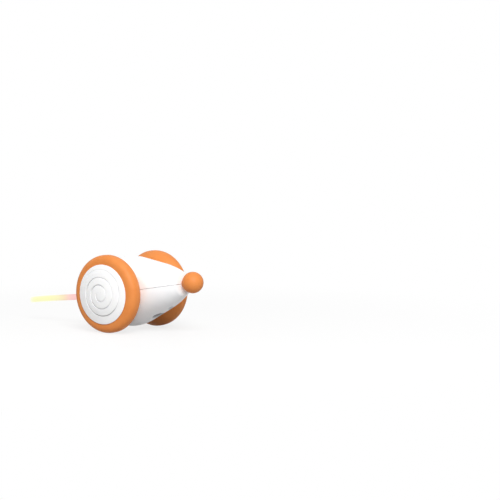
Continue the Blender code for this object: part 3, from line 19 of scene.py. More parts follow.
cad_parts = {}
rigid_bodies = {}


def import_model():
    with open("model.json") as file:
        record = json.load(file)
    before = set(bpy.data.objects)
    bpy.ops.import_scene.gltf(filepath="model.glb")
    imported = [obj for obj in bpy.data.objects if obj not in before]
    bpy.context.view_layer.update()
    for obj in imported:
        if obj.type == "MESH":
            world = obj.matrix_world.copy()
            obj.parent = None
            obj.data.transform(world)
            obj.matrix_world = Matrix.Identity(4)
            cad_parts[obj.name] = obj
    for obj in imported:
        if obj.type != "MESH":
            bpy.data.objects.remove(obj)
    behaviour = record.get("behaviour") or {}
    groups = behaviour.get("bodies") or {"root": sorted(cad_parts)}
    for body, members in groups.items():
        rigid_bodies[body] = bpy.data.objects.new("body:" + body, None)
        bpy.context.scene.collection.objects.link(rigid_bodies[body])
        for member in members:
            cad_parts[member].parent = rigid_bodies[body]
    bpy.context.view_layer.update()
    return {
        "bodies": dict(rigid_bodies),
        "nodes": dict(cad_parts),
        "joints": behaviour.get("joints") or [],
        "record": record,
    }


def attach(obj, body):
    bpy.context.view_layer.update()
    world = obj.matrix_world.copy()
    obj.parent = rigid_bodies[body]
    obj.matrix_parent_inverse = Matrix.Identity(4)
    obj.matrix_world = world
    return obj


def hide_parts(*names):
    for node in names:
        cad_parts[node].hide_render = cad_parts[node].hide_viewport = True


LOG = logging.getLogger("mouse_toy")

MM = 0.001
WELD = 0.001 * MM
QUARTER = math.pi / 2
ALONG_BODY = Matrix.Rotation(QUARTER, 4, "Y")
WHITE = (1.0, 1.0, 1.0, 1.0)

# Noise keeps mostly between these values, and is smooth, even or rich in detail.
NOISE_LOW, NOISE_HIGH = 0.3, 0.7
SMOOTH, EVEN, RICH = 2.0, 3.0, 4.0

Point = tuple[float, float]
Place = tuple[float, float, float]
Colour = tuple[float, float, float]
Stops = Sequence[tuple[float, Colour]]
Solid = bmesh.types.BMesh
Socket = bpy.types.NodeSocket


class Slot(Enum):
    """Material slots of the record."""

    SHELL = "shell_plastic"
    CAP = "cap_plastic"
    ORANGE = "orange_rubber"
    TAIL = "tail_rubber"
    STEEL = "steel"
    CAST = "cast_weight"
    BRONZE = "bronze"
    GEAR = "gear_plastic"
    FRAME = "frame_plastic"
    BOARD = "circuit_board"
    BLACK = "black_plastic"
    BATTERY = "battery_foil"
    LAMP = "lamp_resin"


class Hand(Enum):
    """The two sides of the toy, with the sign of their place along Y."""

    RIGHT = -1
    LEFT = 1

    @property
    def prefix(self) -> str:
        """The start of this side's node names."""
        return self.name.lower() + "_"


# Node materials


class NodeTree:
    """A shader tree whose nodes are added one by one."""

    def __init__(self, tree: bpy.types.NodeTree) -> None:
        """Keep the tree."""
        self.tree = tree

    def add(self, kind: str, inputs: dict | None = None, **settings: object) -> bpy.types.Node:
        """Add a node.

        Args:
            kind: The node's type name.
            inputs: Values, or output sockets to link, by input name or number.
            settings: Properties of the node.

        Returns:
            The new node.
        """
        node = self.tree.nodes.new(kind)
        for name, value in settings.items():
            setattr(node, name, value)
        return self.fill(node, inputs or {})

    def fill(self, node: bpy.types.Node, inputs: dict) -> bpy.types.Node:
        """Set a node's inputs, or link outputs to them.

        Args:
            node: The node.
            inputs: Values, or output sockets to link, by input name or number.

        Returns:
            The node.
        """
        for name, value in inputs.items():
            if isinstance(value, Socket):
                self.tree.links.new(value, node.inputs[name])
            else:
                node.inputs[name].default_value = value
        return node

    def maths(self, operation: str, first: Socket, second: Socket) -> Socket:
        """Return the result of an operation on two values."""
        return self.add("ShaderNodeMath", {0: first, 1: second}, operation=operation).outputs[0]

    def mix(self, factor: Socket, first: Socket, second: Socket) -> Socket:
        """Return a colour that turns from the first to the second as the factor grows."""
        return self.add("ShaderNodeMix", {"Factor": factor, 6: first, 7: second}, data_type="RGBA").outputs[2]

    def seen(self) -> Socket:
        """Tell apart the rays that the camera sends, straight or by way of gloss and glass.

        Returns:
            1 for such a ray, else 0.
        """
        rays = self.add("ShaderNodeLightPath").outputs
        seen = rays["Is Camera Ray"]
        for name in ("Is Glossy Ray", "Is Transmission Ray"):
            seen = self.maths("MAXIMUM", seen, rays[name])
        return seen

    def surface(self, output: str, share: Socket, under: Socket, over: Socket) -> None:
        """End the tree in two mixed shaders.

        Args:
            output: Name of the output node.
            share: The second shader's share.
            under: The first shader.
            over: The second shader.
        """
        both = self.add("ShaderNodeMixShader", {0: share, 1: under, 2: over})
        self.fill(self.tree.nodes[output], {"Surface": both.outputs["Shader"]})


class NodeMaterial(NodeTree):
    """A material round its Principled shader, with the place on the piece."""

    def __init__(self, name: str) -> None:
        """Make the material.

        Args:
            name: Its name.
        """
        self.material = bpy.data.materials.new(name)
        self.material.use_nodes = True
        super().__init__(self.material.node_tree)
        self.shader = self.tree.nodes["Principled BSDF"]
        self.place = self.add("ShaderNodeTexCoord").outputs["Object"]

    def noise(self, scale: float, detail: float = EVEN, where: Socket | None = None) -> Socket:
        """Return a noise value of some cycles per metre."""
        return self.add("ShaderNodeTexNoise", {"Vector": where or self.place, "Scale": scale,
                                               "Detail": detail}).outputs["Fac"]

    def stored(self, name: str) -> Socket:
        """Return a value that the mesh holds under a name."""
        return self.add("ShaderNodeAttribute", attribute_name=name).outputs["Fac"]

    def between(self, value: Socket, low: float, high: float) -> Socket:
        """Return a noise value mapped to a range."""
        return self.add("ShaderNodeMapRange", {
            "Value": value, "From Min": NOISE_LOW, "From Max": NOISE_HIGH, "To Min": low,
            "To Max": high}).outputs["Result"]

    def ramp(self, value: Socket, stops: Stops) -> Socket:
        """Colour a value.

        Args:
            value: The value.
            stops: (value, colour) pairs in rising order.

        Returns:
            The colour.
        """
        node = self.add("ShaderNodeValToRGB", {"Fac": value})
        marks = node.color_ramp.elements
        while len(marks) < len(stops):
            marks.new(1.0)
        for mark, (place, colour) in zip(marks, stops):
            mark.position = place
            mark.color = (*colour, 1.0)
        return node.outputs["Color"]

    def relief(self, height: Socket, depth: float, under: Socket | None = None) -> Socket:
        """Turn a height into a bumped normal.

        Args:
            height: The height, 0 to 1.
            depth: Its depth in metres.
            under: Another normal that it lies over.

        Returns:
            The normal.
        """
        inputs = {"Height": height, "Distance": depth, "Strength": 1.0}
        if under is not None:
            inputs["Normal"] = under
        return self.add("ShaderNodeBump", inputs).outputs["Normal"]


@dataclass(frozen=True)
class Finish:
    """A surface: its mottled colour, uneven gloss and fine relief."""

    name: str
    slot: Slot
    light: Colour
    dark: Colour
    mottle: float = 160.0
    tones: Point = (0.35, 0.65)
    gloss: Point = (0.35, 0.45)
    gloss_scale: float = 420.0
    grain: float = 2600.0
    grain_depth: float = 0.012 * MM
    swell: float = 120.0
    swell_depth: float = 0.0
    metallic: float = 0.0
    coat: float = 0.0
    scatter: float = 0.0
    scatter_reach: Place = (1.0 * MM, 0.8 * MM, 0.6 * MM)
    specular: float = 0.5

    @cache
    def material(self) -> bpy.types.Material:
        """Build the material when it is first asked for.

        Returns:
            The same material each time.
        """
        nodes = NodeMaterial(self.name)
        nodes.fill(nodes.shader, {
            "Base Color": self.colour(nodes), "Normal": self.normal(nodes),
            "Roughness": nodes.between(nodes.noise(self.gloss_scale), *self.gloss),
            "Metallic": self.metallic, "Coat Weight": self.coat, "Specular IOR Level": self.specular,
            "Subsurface Weight": self.scatter})
        if self.scatter:
            scale = self.scatter_reach[0]
            nodes.fill(nodes.shader, {"Subsurface Scale": scale, "Subsurface Radius": tuple(
                part / scale for part in self.scatter_reach)})
        self.extras(nodes)
        return nodes.material

    def colour(self, nodes: NodeMaterial) -> Socket:
        """Return the mottled colour."""
        return nodes.ramp(nodes.noise(self.mottle, RICH), list(zip(self.tones, (self.dark, self.light))))

    def normal(self, nodes: NodeMaterial) -> Socket:
        """Return the fine grain over the slow swell of the surface."""
        swell = nodes.relief(nodes.noise(self.swell, SMOOTH), self.swell_depth) if self.swell_depth else None
        return nodes.relief(nodes.noise(self.grain, SMOOTH), self.grain_depth, swell)

    def extras(self, nodes: NodeMaterial) -> None:
        """Add what only one kind of surface has."""


@dataclass(frozen=True)
class BrushedMetal(Finish):
    """Metal with brush lines along one axis."""

    lines: Place = (400.0, 9000.0, 9000.0)

    def normal(self, nodes: NodeMaterial) -> Socket:
        """Return fine lines."""
        stretched = nodes.add("ShaderNodeMapping", {"Vector": nodes.place, "Scale": self.lines})
        return nodes.relief(nodes.noise(1.0, SMOOTH, stretched.outputs["Vector"]), self.grain_depth)


@dataclass(frozen=True)
class FurrowedPlastic(Finish):
    """Moulded plastic with painted shade: grey mixed into its furrow where shade falls in the groove."""

    furrow: str = "furrow"
    # painted shade: grey tones mixed into the furrow to stand for the shade inside the groove
    painted_shade: Stops = ((NOISE_LOW, (0.25, 0.25, 0.26)), (NOISE_HIGH, (0.325, 0.325, 0.338)))

    def colour(self, nodes: NodeMaterial) -> Socket:
        """Return the mottled colour, darkened in the furrow by painted shade."""
        painted_shade = nodes.ramp(nodes.noise(self.grain), self.painted_shade)
        return nodes.mix(nodes.stored(self.furrow), super().colour(nodes), painted_shade)


@dataclass(frozen=True)
class CircuitBoard(Finish):
    """Solder mask over copper tracks."""

    copper: Colour = (0.10, 0.34, 0.12)
    pitch: float = 420.0
    track_gap: float = 0.3

    def colour(self, nodes: NodeMaterial) -> Socket:
        """Lay the mask over its lighter tracks.

        Args:
            nodes: The material.

        Returns:
            The colour.
        """
        copper = (*self.copper, 1.0)
        tracks = nodes.add("ShaderNodeTexBrick", {
            "Vector": nodes.place, "Scale": self.pitch, "Color1": copper, "Color2": copper,
            "Mortar Size": self.track_gap})
        return nodes.mix(tracks.outputs["Fac"], tracks.outputs["Color"], super().colour(nodes))


@dataclass(frozen=True)
class LitResin(Finish):
    """Clear resin of a lamp that is switched on."""

    glow: Colour = (1.0, 0.55, 0.45)
    strength: float = 1.5

    def extras(self, nodes: NodeMaterial) -> None:
        """Let the resin glow."""
        core = nodes.ramp(nodes.noise(self.mottle), ((NOISE_LOW, self.glow), (NOISE_HIGH, self.light)))
        nodes.fill(nodes.shader, {"Emission Color": core, "Emission Strength": self.strength})


@dataclass(frozen=True)
class GlowingTail(Finish):
    """Clear rubber lit from its root, whose glow runs from pink to pale yellow and fades."""

    along: str = "along"
    rim: str = "rim"
    drift: float = 0.012
    core_stops: Stops = ()
    rim_stops: Stops = ()
    strength: float = 1.0

    def extras(self, nodes: NodeMaterial) -> None:
        """Colour the glow along the tail, with a deeper tone at its upper and lower edge.

        Args:
            nodes: The material.
        """
        drift = nodes.between(nodes.noise(self.mottle, SMOOTH), -self.drift, self.drift)
        place = nodes.maths("ADD", nodes.stored(self.along), drift)
        glow = nodes.mix(nodes.stored(self.rim), nodes.ramp(place, self.core_stops),
                         nodes.ramp(place, self.rim_stops))
        nodes.fill(nodes.shader, {"Emission Color": glow, "Emission Strength": self.strength})


@dataclass(frozen=True)
class Wardrobe:
    """Every finish of the toy."""

    shell: Finish = Finish(
        "satin_white_shell", Slot.SHELL, (0.925, 0.93, 0.94), (0.90, 0.91, 0.925),
        gloss=(0.34, 0.44), swell_depth=0.01 * MM, scatter=0.05)
    # painted shade: the button, shell plastic like the body, is coloured dark grey to stand for the shade
    # inside its deep pocket
    button: Finish = Finish(
        "smoke_grey_button", Slot.SHELL, (0.20, 0.20, 0.20), (0.15, 0.15, 0.15), gloss=(0.4, 0.5))
    cap: Finish = Finish(
        "gloss_white_cap", Slot.CAP, (0.93, 0.93, 0.93), (0.915, 0.915, 0.92),
        gloss=(0.27, 0.31), grain_depth=0.0012 * MM, coat=0.15, scatter=0.05)
    # the spiral cap's finish, with painted shade in its furrow
    spiral: Finish = FurrowedPlastic(
        "gloss_white_spiral", Slot.CAP, (0.93, 0.93, 0.93), (0.915, 0.915, 0.92),
        gloss=(0.27, 0.31), grain_depth=0.0012 * MM, coat=0.15, scatter=0.05)
    orange: Finish = Finish(
        "orange_silicone", Slot.ORANGE, (0.75, 0.258, 0.062), (0.71, 0.228, 0.050), mottle=90.0,
        gloss=(0.46, 0.6), grain=3200.0, grain_depth=0.02 * MM, swell=260.0, swell_depth=0.03 * MM,
        specular=0.3)
    steel: Finish = BrushedMetal(
        "brushed_steel", Slot.STEEL, (0.66, 0.66, 0.68), (0.55, 0.55, 0.58),
        gloss=(0.26, 0.4), grain_depth=0.004 * MM, metallic=1.0)
    cast: Finish = Finish(
        "cast_zinc_weight", Slot.CAST, (0.36, 0.36, 0.37), (0.25, 0.25, 0.27), gloss=(0.5, 0.7),
        grain=1500.0, grain_depth=0.04 * MM, swell_depth=0.05 * MM, metallic=0.9)
    bronze: Finish = Finish(
        "sintered_bronze", Slot.BRONZE, (0.58, 0.38, 0.17), (0.42, 0.26, 0.11), mottle=900.0,
        gloss=(0.35, 0.55), grain=5000.0, grain_depth=0.015 * MM, metallic=1.0)
    gear: Finish = Finish(
        "acetal_gear", Slot.GEAR, (0.86, 0.85, 0.81), (0.78, 0.77, 0.72), gloss=(0.3, 0.42), scatter=0.1)
    frame: Finish = Finish(
        "grey_nylon_frame", Slot.FRAME, (0.27, 0.28, 0.30), (0.20, 0.21, 0.23),
        gloss=(0.45, 0.6), grain=2200.0, grain_depth=0.025 * MM)
    board: Finish = CircuitBoard(
        "green_board", Slot.BOARD, (0.035, 0.22, 0.09), (0.02, 0.15, 0.06), gloss=(0.28, 0.42), coat=0.3)
    black: Finish = Finish(
        "black_moulding", Slot.BLACK, (0.035, 0.035, 0.037), (0.015, 0.015, 0.016),
        gloss=(0.38, 0.55), grain=3500.0, grain_depth=0.015 * MM)
    battery: Finish = Finish(
        "battery_wrap", Slot.BATTERY, (0.24, 0.40, 0.66), (0.15, 0.28, 0.52),
        gloss=(0.25, 0.4), swell=300.0, swell_depth=0.12 * MM, metallic=0.5)
    lamp: Finish = LitResin("lit_lamp_resin", Slot.LAMP, (1.0, 0.93, 0.85), (0.95, 0.80, 0.70))
    tail: Finish = GlowingTail(
        "lit_tail_rubber", Slot.TAIL, (0.09, 0.08, 0.07), (0.07, 0.06, 0.055), mottle=60.0,
        gloss=(0.3, 0.4), grain_depth=0.006 * MM, specular=0.2,
        core_stops=((0.0, (0.90, 0.50, 0.52)), (0.57, (0.90, 0.56, 0.54)), (0.61, (0.90, 0.61, 0.54)),
                    (0.65, (0.90, 0.76, 0.48)), (0.70, (0.90, 0.85, 0.50)), (0.80, (0.91, 0.91, 0.47)),
                    (0.95, (0.90, 0.91, 0.50)), (0.975, (0.90, 0.91, 0.62)), (1.0, (0.90, 0.91, 0.74))),
        rim_stops=((0.0, (0.76, 0.40, 0.42)), (0.57, (0.78, 0.46, 0.46)), (0.61, (0.80, 0.52, 0.50)),
                   (0.65, (0.72, 0.58, 0.42)), (0.70, (0.80, 0.71, 0.52)), (0.80, (0.88, 0.88, 0.58)),
                   (0.95, (0.88, 0.87, 0.62)), (0.975, (0.88, 0.90, 0.68)), (1.0, (0.90, 0.91, 0.76))))


WARDROBE = Wardrobe()


# Mesh making


def spun(outline: Sequence[Point], segments: int) -> Solid:
    """Spin an outline round Z.

    Args:
        outline: (radius, height) points; both ends lie on the axis, or the first comes again last.
        segments: Steps of the full turn.

    Returns:
        A closed mesh whose faces look outwards.
    """
    closed = outline[0] == outline[-1]
    points = outline[:-1] if closed else outline
    shape = bmesh.new()
    verts = [shape.verts.new((radius, 0.0, height)) for radius, height in points]
    edges = [shape.edges.new(pair) for pair in zip(verts, verts[1:])]
    if closed:
        edges.append(shape.edges.new((verts[-1], verts[0])))
    bmesh.ops.spin(shape, geom=verts + edges, cent=(0.0, 0.0, 0.0), axis=(0.0, 0.0, 1.0),
                   angle=math.tau, steps=segments, use_merge=True, use_duplicate=False)
    bmesh.ops.remove_doubles(shape, verts=list(shape.verts), dist=WELD)
    bmesh.ops.recalc_face_normals(shape, faces=list(shape.faces))
    return shape


def moved(shape: Solid, matrix: Matrix) -> Solid:
    """Return the mesh after a move or turn."""
    bmesh.ops.transform(shape, matrix=matrix, verts=list(shape.verts))
    return shape


def cylinder(radius: float, low: float, high: float, centre: Point = (0.0, 0.0), segments: int = 48) -> Solid:
    """Make a closed cylinder along Z.

    Args:
        radius: Its radius.
        low: Height of its lower end.
        high: Height of its upper end.
        centre: Place of its axis.
        segments: Its sides.

    Returns:
        The mesh.
    """
    shape = bmesh.new()
    bmesh.ops.create_cone(shape, cap_ends=True, segments=segments, radius1=radius, radius2=radius,
                          depth=high - low, matrix=Matrix.Translation((*centre, (low + high) / 2)))
    return shape


def block(low: Sequence[float], high: Sequence[float]) -> Solid:
    """Make a closed box.

    Args:
        low: Its lowest corner.
        high: Its highest corner.

    Returns:
        The mesh.
    """
    shape = bmesh.new()
    middle = [(a + b) / 2 for a, b in zip(low, high)]
    size = Matrix.Diagonal((*(b - a for a, b in zip(low, high)), 1.0))
    bmesh.ops.create_cube(shape, size=1.0, matrix=Matrix.Translation(middle) @ size)
    return shape


def gathered(shapes: Iterable[Solid]) -> Solid:
    """Gather several meshes in one.

    Args:
        shapes: The meshes, which are used up.

    Returns:
        One mesh with the geometry of all.
    """
    whole = bmesh.new()
    for shape in shapes:
        mesh = bpy.data.meshes.new("part")
        shape.to_mesh(mesh)
        shape.free()
        whole.from_mesh(mesh)
        bpy.data.meshes.remove(mesh)
    return whole


def linked(name: str, shape: Solid) -> bpy.types.Object:
    """Turn a mesh into an object of the scene.

    Args:
        name: The object's name.
        shape: The mesh, which is used up.

    Returns:
        The object.
    """
    mesh = bpy.data.meshes.new(name)
    shape.to_mesh(mesh)
    shape.free()
    thing = bpy.data.objects.new(name, mesh)
    bpy.context.scene.collection.objects.link(thing)
    return thing


def carved(shape: Solid, steps: Sequence[tuple[str, Solid]]) -> Solid:
    """Cut or join solids to a mesh.

    Args:
        shape: The mesh to work on.
        steps: (operation, solid) pairs, in order.

    Returns:
        The result as a new mesh.
    """
    thing = linked("blank", shape)
    tools = []
    for operation, solid in steps:
        tool = linked("tool", solid)
        modifier = thing.modifiers.new("cut", "BOOLEAN")
        modifier.operation, modifier.solver, modifier.object = operation, "EXACT", tool
        tools.append(tool)
    bpy.context.view_layer.update()
    mesh = bpy.data.meshes.new_from_object(thing.evaluated_get(bpy.context.evaluated_depsgraph_get()))
    result = bmesh.new()
    result.from_mesh(mesh)
    bpy.data.meshes.remove(mesh)
    for old in (thing, *tools):
        spare = old.data
        bpy.data.objects.remove(old)
        bpy.data.meshes.remove(spare)
    bmesh.ops.recalc_face_normals(result, faces=list(result.faces))
    return result


def piece(name: str, shape: Solid, finish: Finish, node: str, body: str = "body",
          crease: float = 32.0) -> None:
    """Make a finished piece of the toy.

    Args:
        name: Name of the piece.
        shape: Its mesh, in the row frame.
        finish: Its surface.
        node: The CAD node that it stands for.
        body: The body that it rides on.
        crease: Degrees over which an edge is shaded sharp.
    """
    thing = linked(name, shape)
    thing.data.shade_smooth()
    thing.data.set_sharp_from_angle(angle=math.radians(crease))
    thing.data.materials.append(finish.material())
    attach(thing, body)
    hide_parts(node)
    LOG.info("%s: %d faces on %s", name, len(thing.data.polygons), body)


def arc(centre: Point, radius: float, start: float, end: float, steps: int) -> list[Point]:
    """Return points of an arc, both ends included."""
    turns = [start + (end - start) * step / steps for step in range(steps + 1)]
    return [(centre[0] + radius * math.cos(turn), centre[1] + radius * math.sin(turn)) for turn in turns]


def between_marks(marks: Sequence[Point], place: float) -> float:
    """Read a value off a line.

    Args:
        marks: (place, value) points of the line, in rising order.
        place: Where to read it.

    Returns:
        The value.
    """
    for (low, first), (high, second) in zip(marks, marks[1:]):
        if place < high:
            return first + (second - first) * max(place - low, 0.0) / (high - low)
    return marks[-1][1]


# The toy's places


@dataclass(frozen=True)
class Chassis:
    """Places and clearances that the sub-assemblies share."""

    axle: Vector = field(default_factory=lambda: Vector((19.9754 * MM, 0.0, 30.0 * MM)))
    pitch: float = math.radians(9.3)
    track: float = 57.4 * MM
    gap: float = 0.3 * MM
    overrun: float = 1.0 * MM

    def body(self) -> Matrix:
        """Return the tilted frame of the body."""
        return Matrix.Translation(self.axle) @ Matrix.Rotation(-self.pitch, 4, "Y")

    def lean(self) -> Vector:
        """Return the body's direction in the axle's upright plane."""
        return Vector((math.cos(self.pitch), math.sin(self.pitch)))

    def wheel(self, hand: Hand) -> Matrix:
        """Return a wheel's frame: origin in the tyre's middle plane, Z outboard."""
        middle = Vector((0.0, hand.value * self.track / 2, 0.0))
        return Matrix.Translation(self.axle + middle) @ self.outward(hand)

    def outward(self, hand: Hand) -> Matrix:
        """Return the turn that points Z outboard."""
        return Matrix.Rotation(-hand.value * QUARTER, 4, "X")


CHASSIS = Chassis()


@dataclass(frozen=True)
class BodySkin:
    """The turned form of the body: barrel, cone, snout, dished nose face and round back."""

    radius: float = 27.3 * MM
    rear: float = 26.0 * MM
    wall: float = 1.8 * MM
    half_width: float = 19.9 * MM
    cone_length: float = 20.0 * MM
    curves: tuple[Point, ...] = ((37.5 * MM, 18.73), (0.0, 18.73), (88.0 * MM, 31.8), (3.4 * MM, 80.0))
    gauge_steps: tuple[int, int] = (12, 24)

    def outline(self, inset: float, steps: int, rear_steps: int) -> list[Point]:
        """Draw the outline from the nose face to the back.

        Args:
            inset: How far the outline is drawn in.
            steps: Steps of each arc.
            rear_steps: Steps of the round back.

        Returns:
            (radius, place along the body) points, both ends on the axis.
        """
        points: list[Point] = []
        along, radius, heading = 0.0, self.radius - inset, 0.0
        for curve, degrees in self.curves:
            turn = math.radians(degrees)
            if curve == 0.0:
                along += self.cone_length
                radius -= self.cone_length * math.tan(heading)
                points.append((radius, along))
                continue
            reach = curve - inset
            for step in range(1, steps + 1):
                angle = heading + (turn - heading) * step / steps
                points.append((radius - reach * (math.cos(heading) - math.cos(angle)),
                               along + reach * (math.sin(angle) - math.sin(heading))))
            radius, along = points[-1]
            heading = turn
        points.append((0.0, along + radius / math.tan(heading)))
        points.reverse()
        for step in range(rear_steps + 1):
            angle = QUARTER * step / rear_steps
            width = (self.radius - inset) * math.cos(angle) if step < rear_steps else 0.0
            points.append((width, -(self.rear - inset) * math.sin(angle)))
        return points

    def radius_at(self, along: float) -> float:
        """Measure the skin at a place along the body.

        Args:
            along: The place.

        Returns:
            The radius there.
        """
        outline = self.outline(0.0, *self.gauge_steps)
        for (front, a_front), (back, a_back) in zip(outline, outline[1:]):
            if a_back <= along <= a_front:
                return back + (front - back) * (along - a_back) / (a_front - a_back)
        return 0.0

    def slope_at(self, along: float) -> float:
        """Return the angle at which the skin falls towards the nose."""
        reach = self.wall
        return math.atan2(self.radius_at(along - reach) - self.radius_at(along + reach), 2 * reach)

    def face_at(self, radius: float) -> float:
        """Return how far forward the nose face lies at a distance from the axis."""
        tip, shoulder = self.outline(0.0, *self.gauge_steps)[:2]
        return tip[1] + (shoulder[1] - tip[1]) * radius / shoulder[0]

    def seat_at(self, radius: float) -> float:
        """Return how far forward the inner side of the nose face lies at a distance from the axis."""
        return self.face_at(radius) - self.wall / math.sin(math.radians(self.curves[-1][1]))


SKIN = BodySkin()


@dataclass(frozen=True)
class Screws:
    """The screws that close the body from the belly."""

    places: tuple[Point, ...] = ((-17.1 * MM, -12.6 * MM), (17.1 * MM, 12.6 * MM), (36.0 * MM, 0.0))
    names: tuple[str, ...] = ("rear", "side", "front")
    shank: float = 0.8 * MM
    head: float = 2.2 * MM
    head_height: float = 1.4 * MM
    head_depth: float = 4.6 * MM
    length: float = 9.0 * MM
    boss: float = 3.1 * MM
    edge_parts: int = 3
    edge_bend: float = 0.3
    slot_width: float = 0.55 * MM
    slot_reach: float = 1.3 * MM
    slot_depth: float = 0.8 * MM
    segments: int = 40

    def build(self) -> None:
        """Build the three screws with their crossed slots."""
        crown = self.head_depth + self.head_height
        edge = self.head_height / self.edge_parts
        bend = self.edge_bend * edge
        end = self.head_depth - self.length
        outline = [(0.0, crown), (self.head - edge, crown), (self.head - bend, crown - bend),
                   (self.head, crown - edge), (self.head, self.head_depth), (self.shank, self.head_depth),
                   (self.shank, end + self.shank), (0.0, end)]
        low, high = crown - self.slot_depth, crown + self.slot_depth
        bars = ((self.slot_reach, self.slot_width / 2), (self.slot_width / 2, self.slot_reach))
        for name, (x, y) in zip(self.names, self.places):
            solid = carved(spun(outline, self.segments),
                           [("DIFFERENCE", block((-a, -b, low), (a, b, high))) for a, b in bars])
            moved(solid, Matrix.Translation((x, y, 0.0)) @ Matrix.Diagonal((1.0, 1.0, -1.0, 1.0)))
            bmesh.ops.reverse_faces(solid, faces=list(solid.faces))
            piece("screw_" + name, moved(solid, CHASSIS.body()), WARDROBE.steel, "shell_screw_" + name)


@dataclass(frozen=True)
class Button:
    """The power button in its pocket on the belly."""

    place: float = 23.0 * MM
    radius: float = 4.4 * MM
    pocket_radius: float = 4.9 * MM
    pocket_depth: float = 2.0 * MM
    crown_depth: float = 1.1 * MM
    dish: float = 0.35
    dish_shares: tuple[float, ...] = (0.0, 0.2, 0.4, 0.6, 0.8, 0.92)
    edge_steps: int = 8
    seat: float = 1.4 * MM
    flange: float = 1.1 * MM
    post_radius: float = 0.7 * MM
    post_side: float = 6.8 * MM
    post_end: float = 9.4 * MM
    segments: int = 72

    def frame(self) -> Matrix:
        """Return the button's frame: origin on the belly, Z pointing into the body."""
        return (Matrix.Translation((self.place, 0.0, -SKIN.radius_at(self.place)))
                @ Matrix.Rotation(-SKIN.slope_at(self.place), 4, "Y"))

    def seat_level(self) -> float:
        """Return the inner end of the button's guide."""
        return self.pocket_depth + self.seat

    def pocket(self) -> Solid:
        """Shape the cutter of the pocket and the guide's bore.

        Returns:
            The cutter in the body's frame.
        """
        bore = self.radius + CHASSIS.gap
        end = self.seat_level() + CHASSIS.overrun
        wide = self.pocket_radius
        outline = [(0.0, -wide), (wide, -wide), (wide, self.pocket_depth), (bore, self.pocket_depth),
                   (bore, end), (0.0, end)]
        return moved(spun(outline, self.segments), self.frame())

    def housing(self) -> Solid:
        """Return the thick pad round the pocket, in the body's frame."""
        return moved(cylinder(self.pocket_radius + SKIN.wall, -self.pocket_radius, self.seat_level(),
                              segments=self.segments), self.frame())

    def posts(self) -> Solid:
        """Shape the posts on that pad, which carry the switch board.

        Returns:
            Both posts in the body's frame.
        """
        low = self.seat_level() - CHASSIS.overrun
        return moved(gathered(cylinder(self.post_radius, low, self.post_end, (0.0, way * self.post_side))
                              for way in (-1.0, 1.0)), self.frame())

    def build(self) -> None:
        """Build the button with its dished, softly rounded crown."""
        low = self.seat_level() + CHASSIS.gap
        back = low + self.flange
        edge = self.flange / 2
        crown = self.crown_depth
        top = [(share * (self.radius - edge), crown + edge * (self.dish - self.dish * share ** 2))
               for share in self.dish_shares]
        rounding = arc((self.radius - edge, crown + edge), edge, -QUARTER, 0.0, self.edge_steps)
        wide = self.radius + self.flange
        outline = top + rounding + [(self.radius, low), (wide, low), (wide, back), (0.0, back)]
        solid = moved(spun(outline, self.segments), CHASSIS.body() @ self.frame())
        piece("button", solid, WARDROBE.button, "power_button", "button")


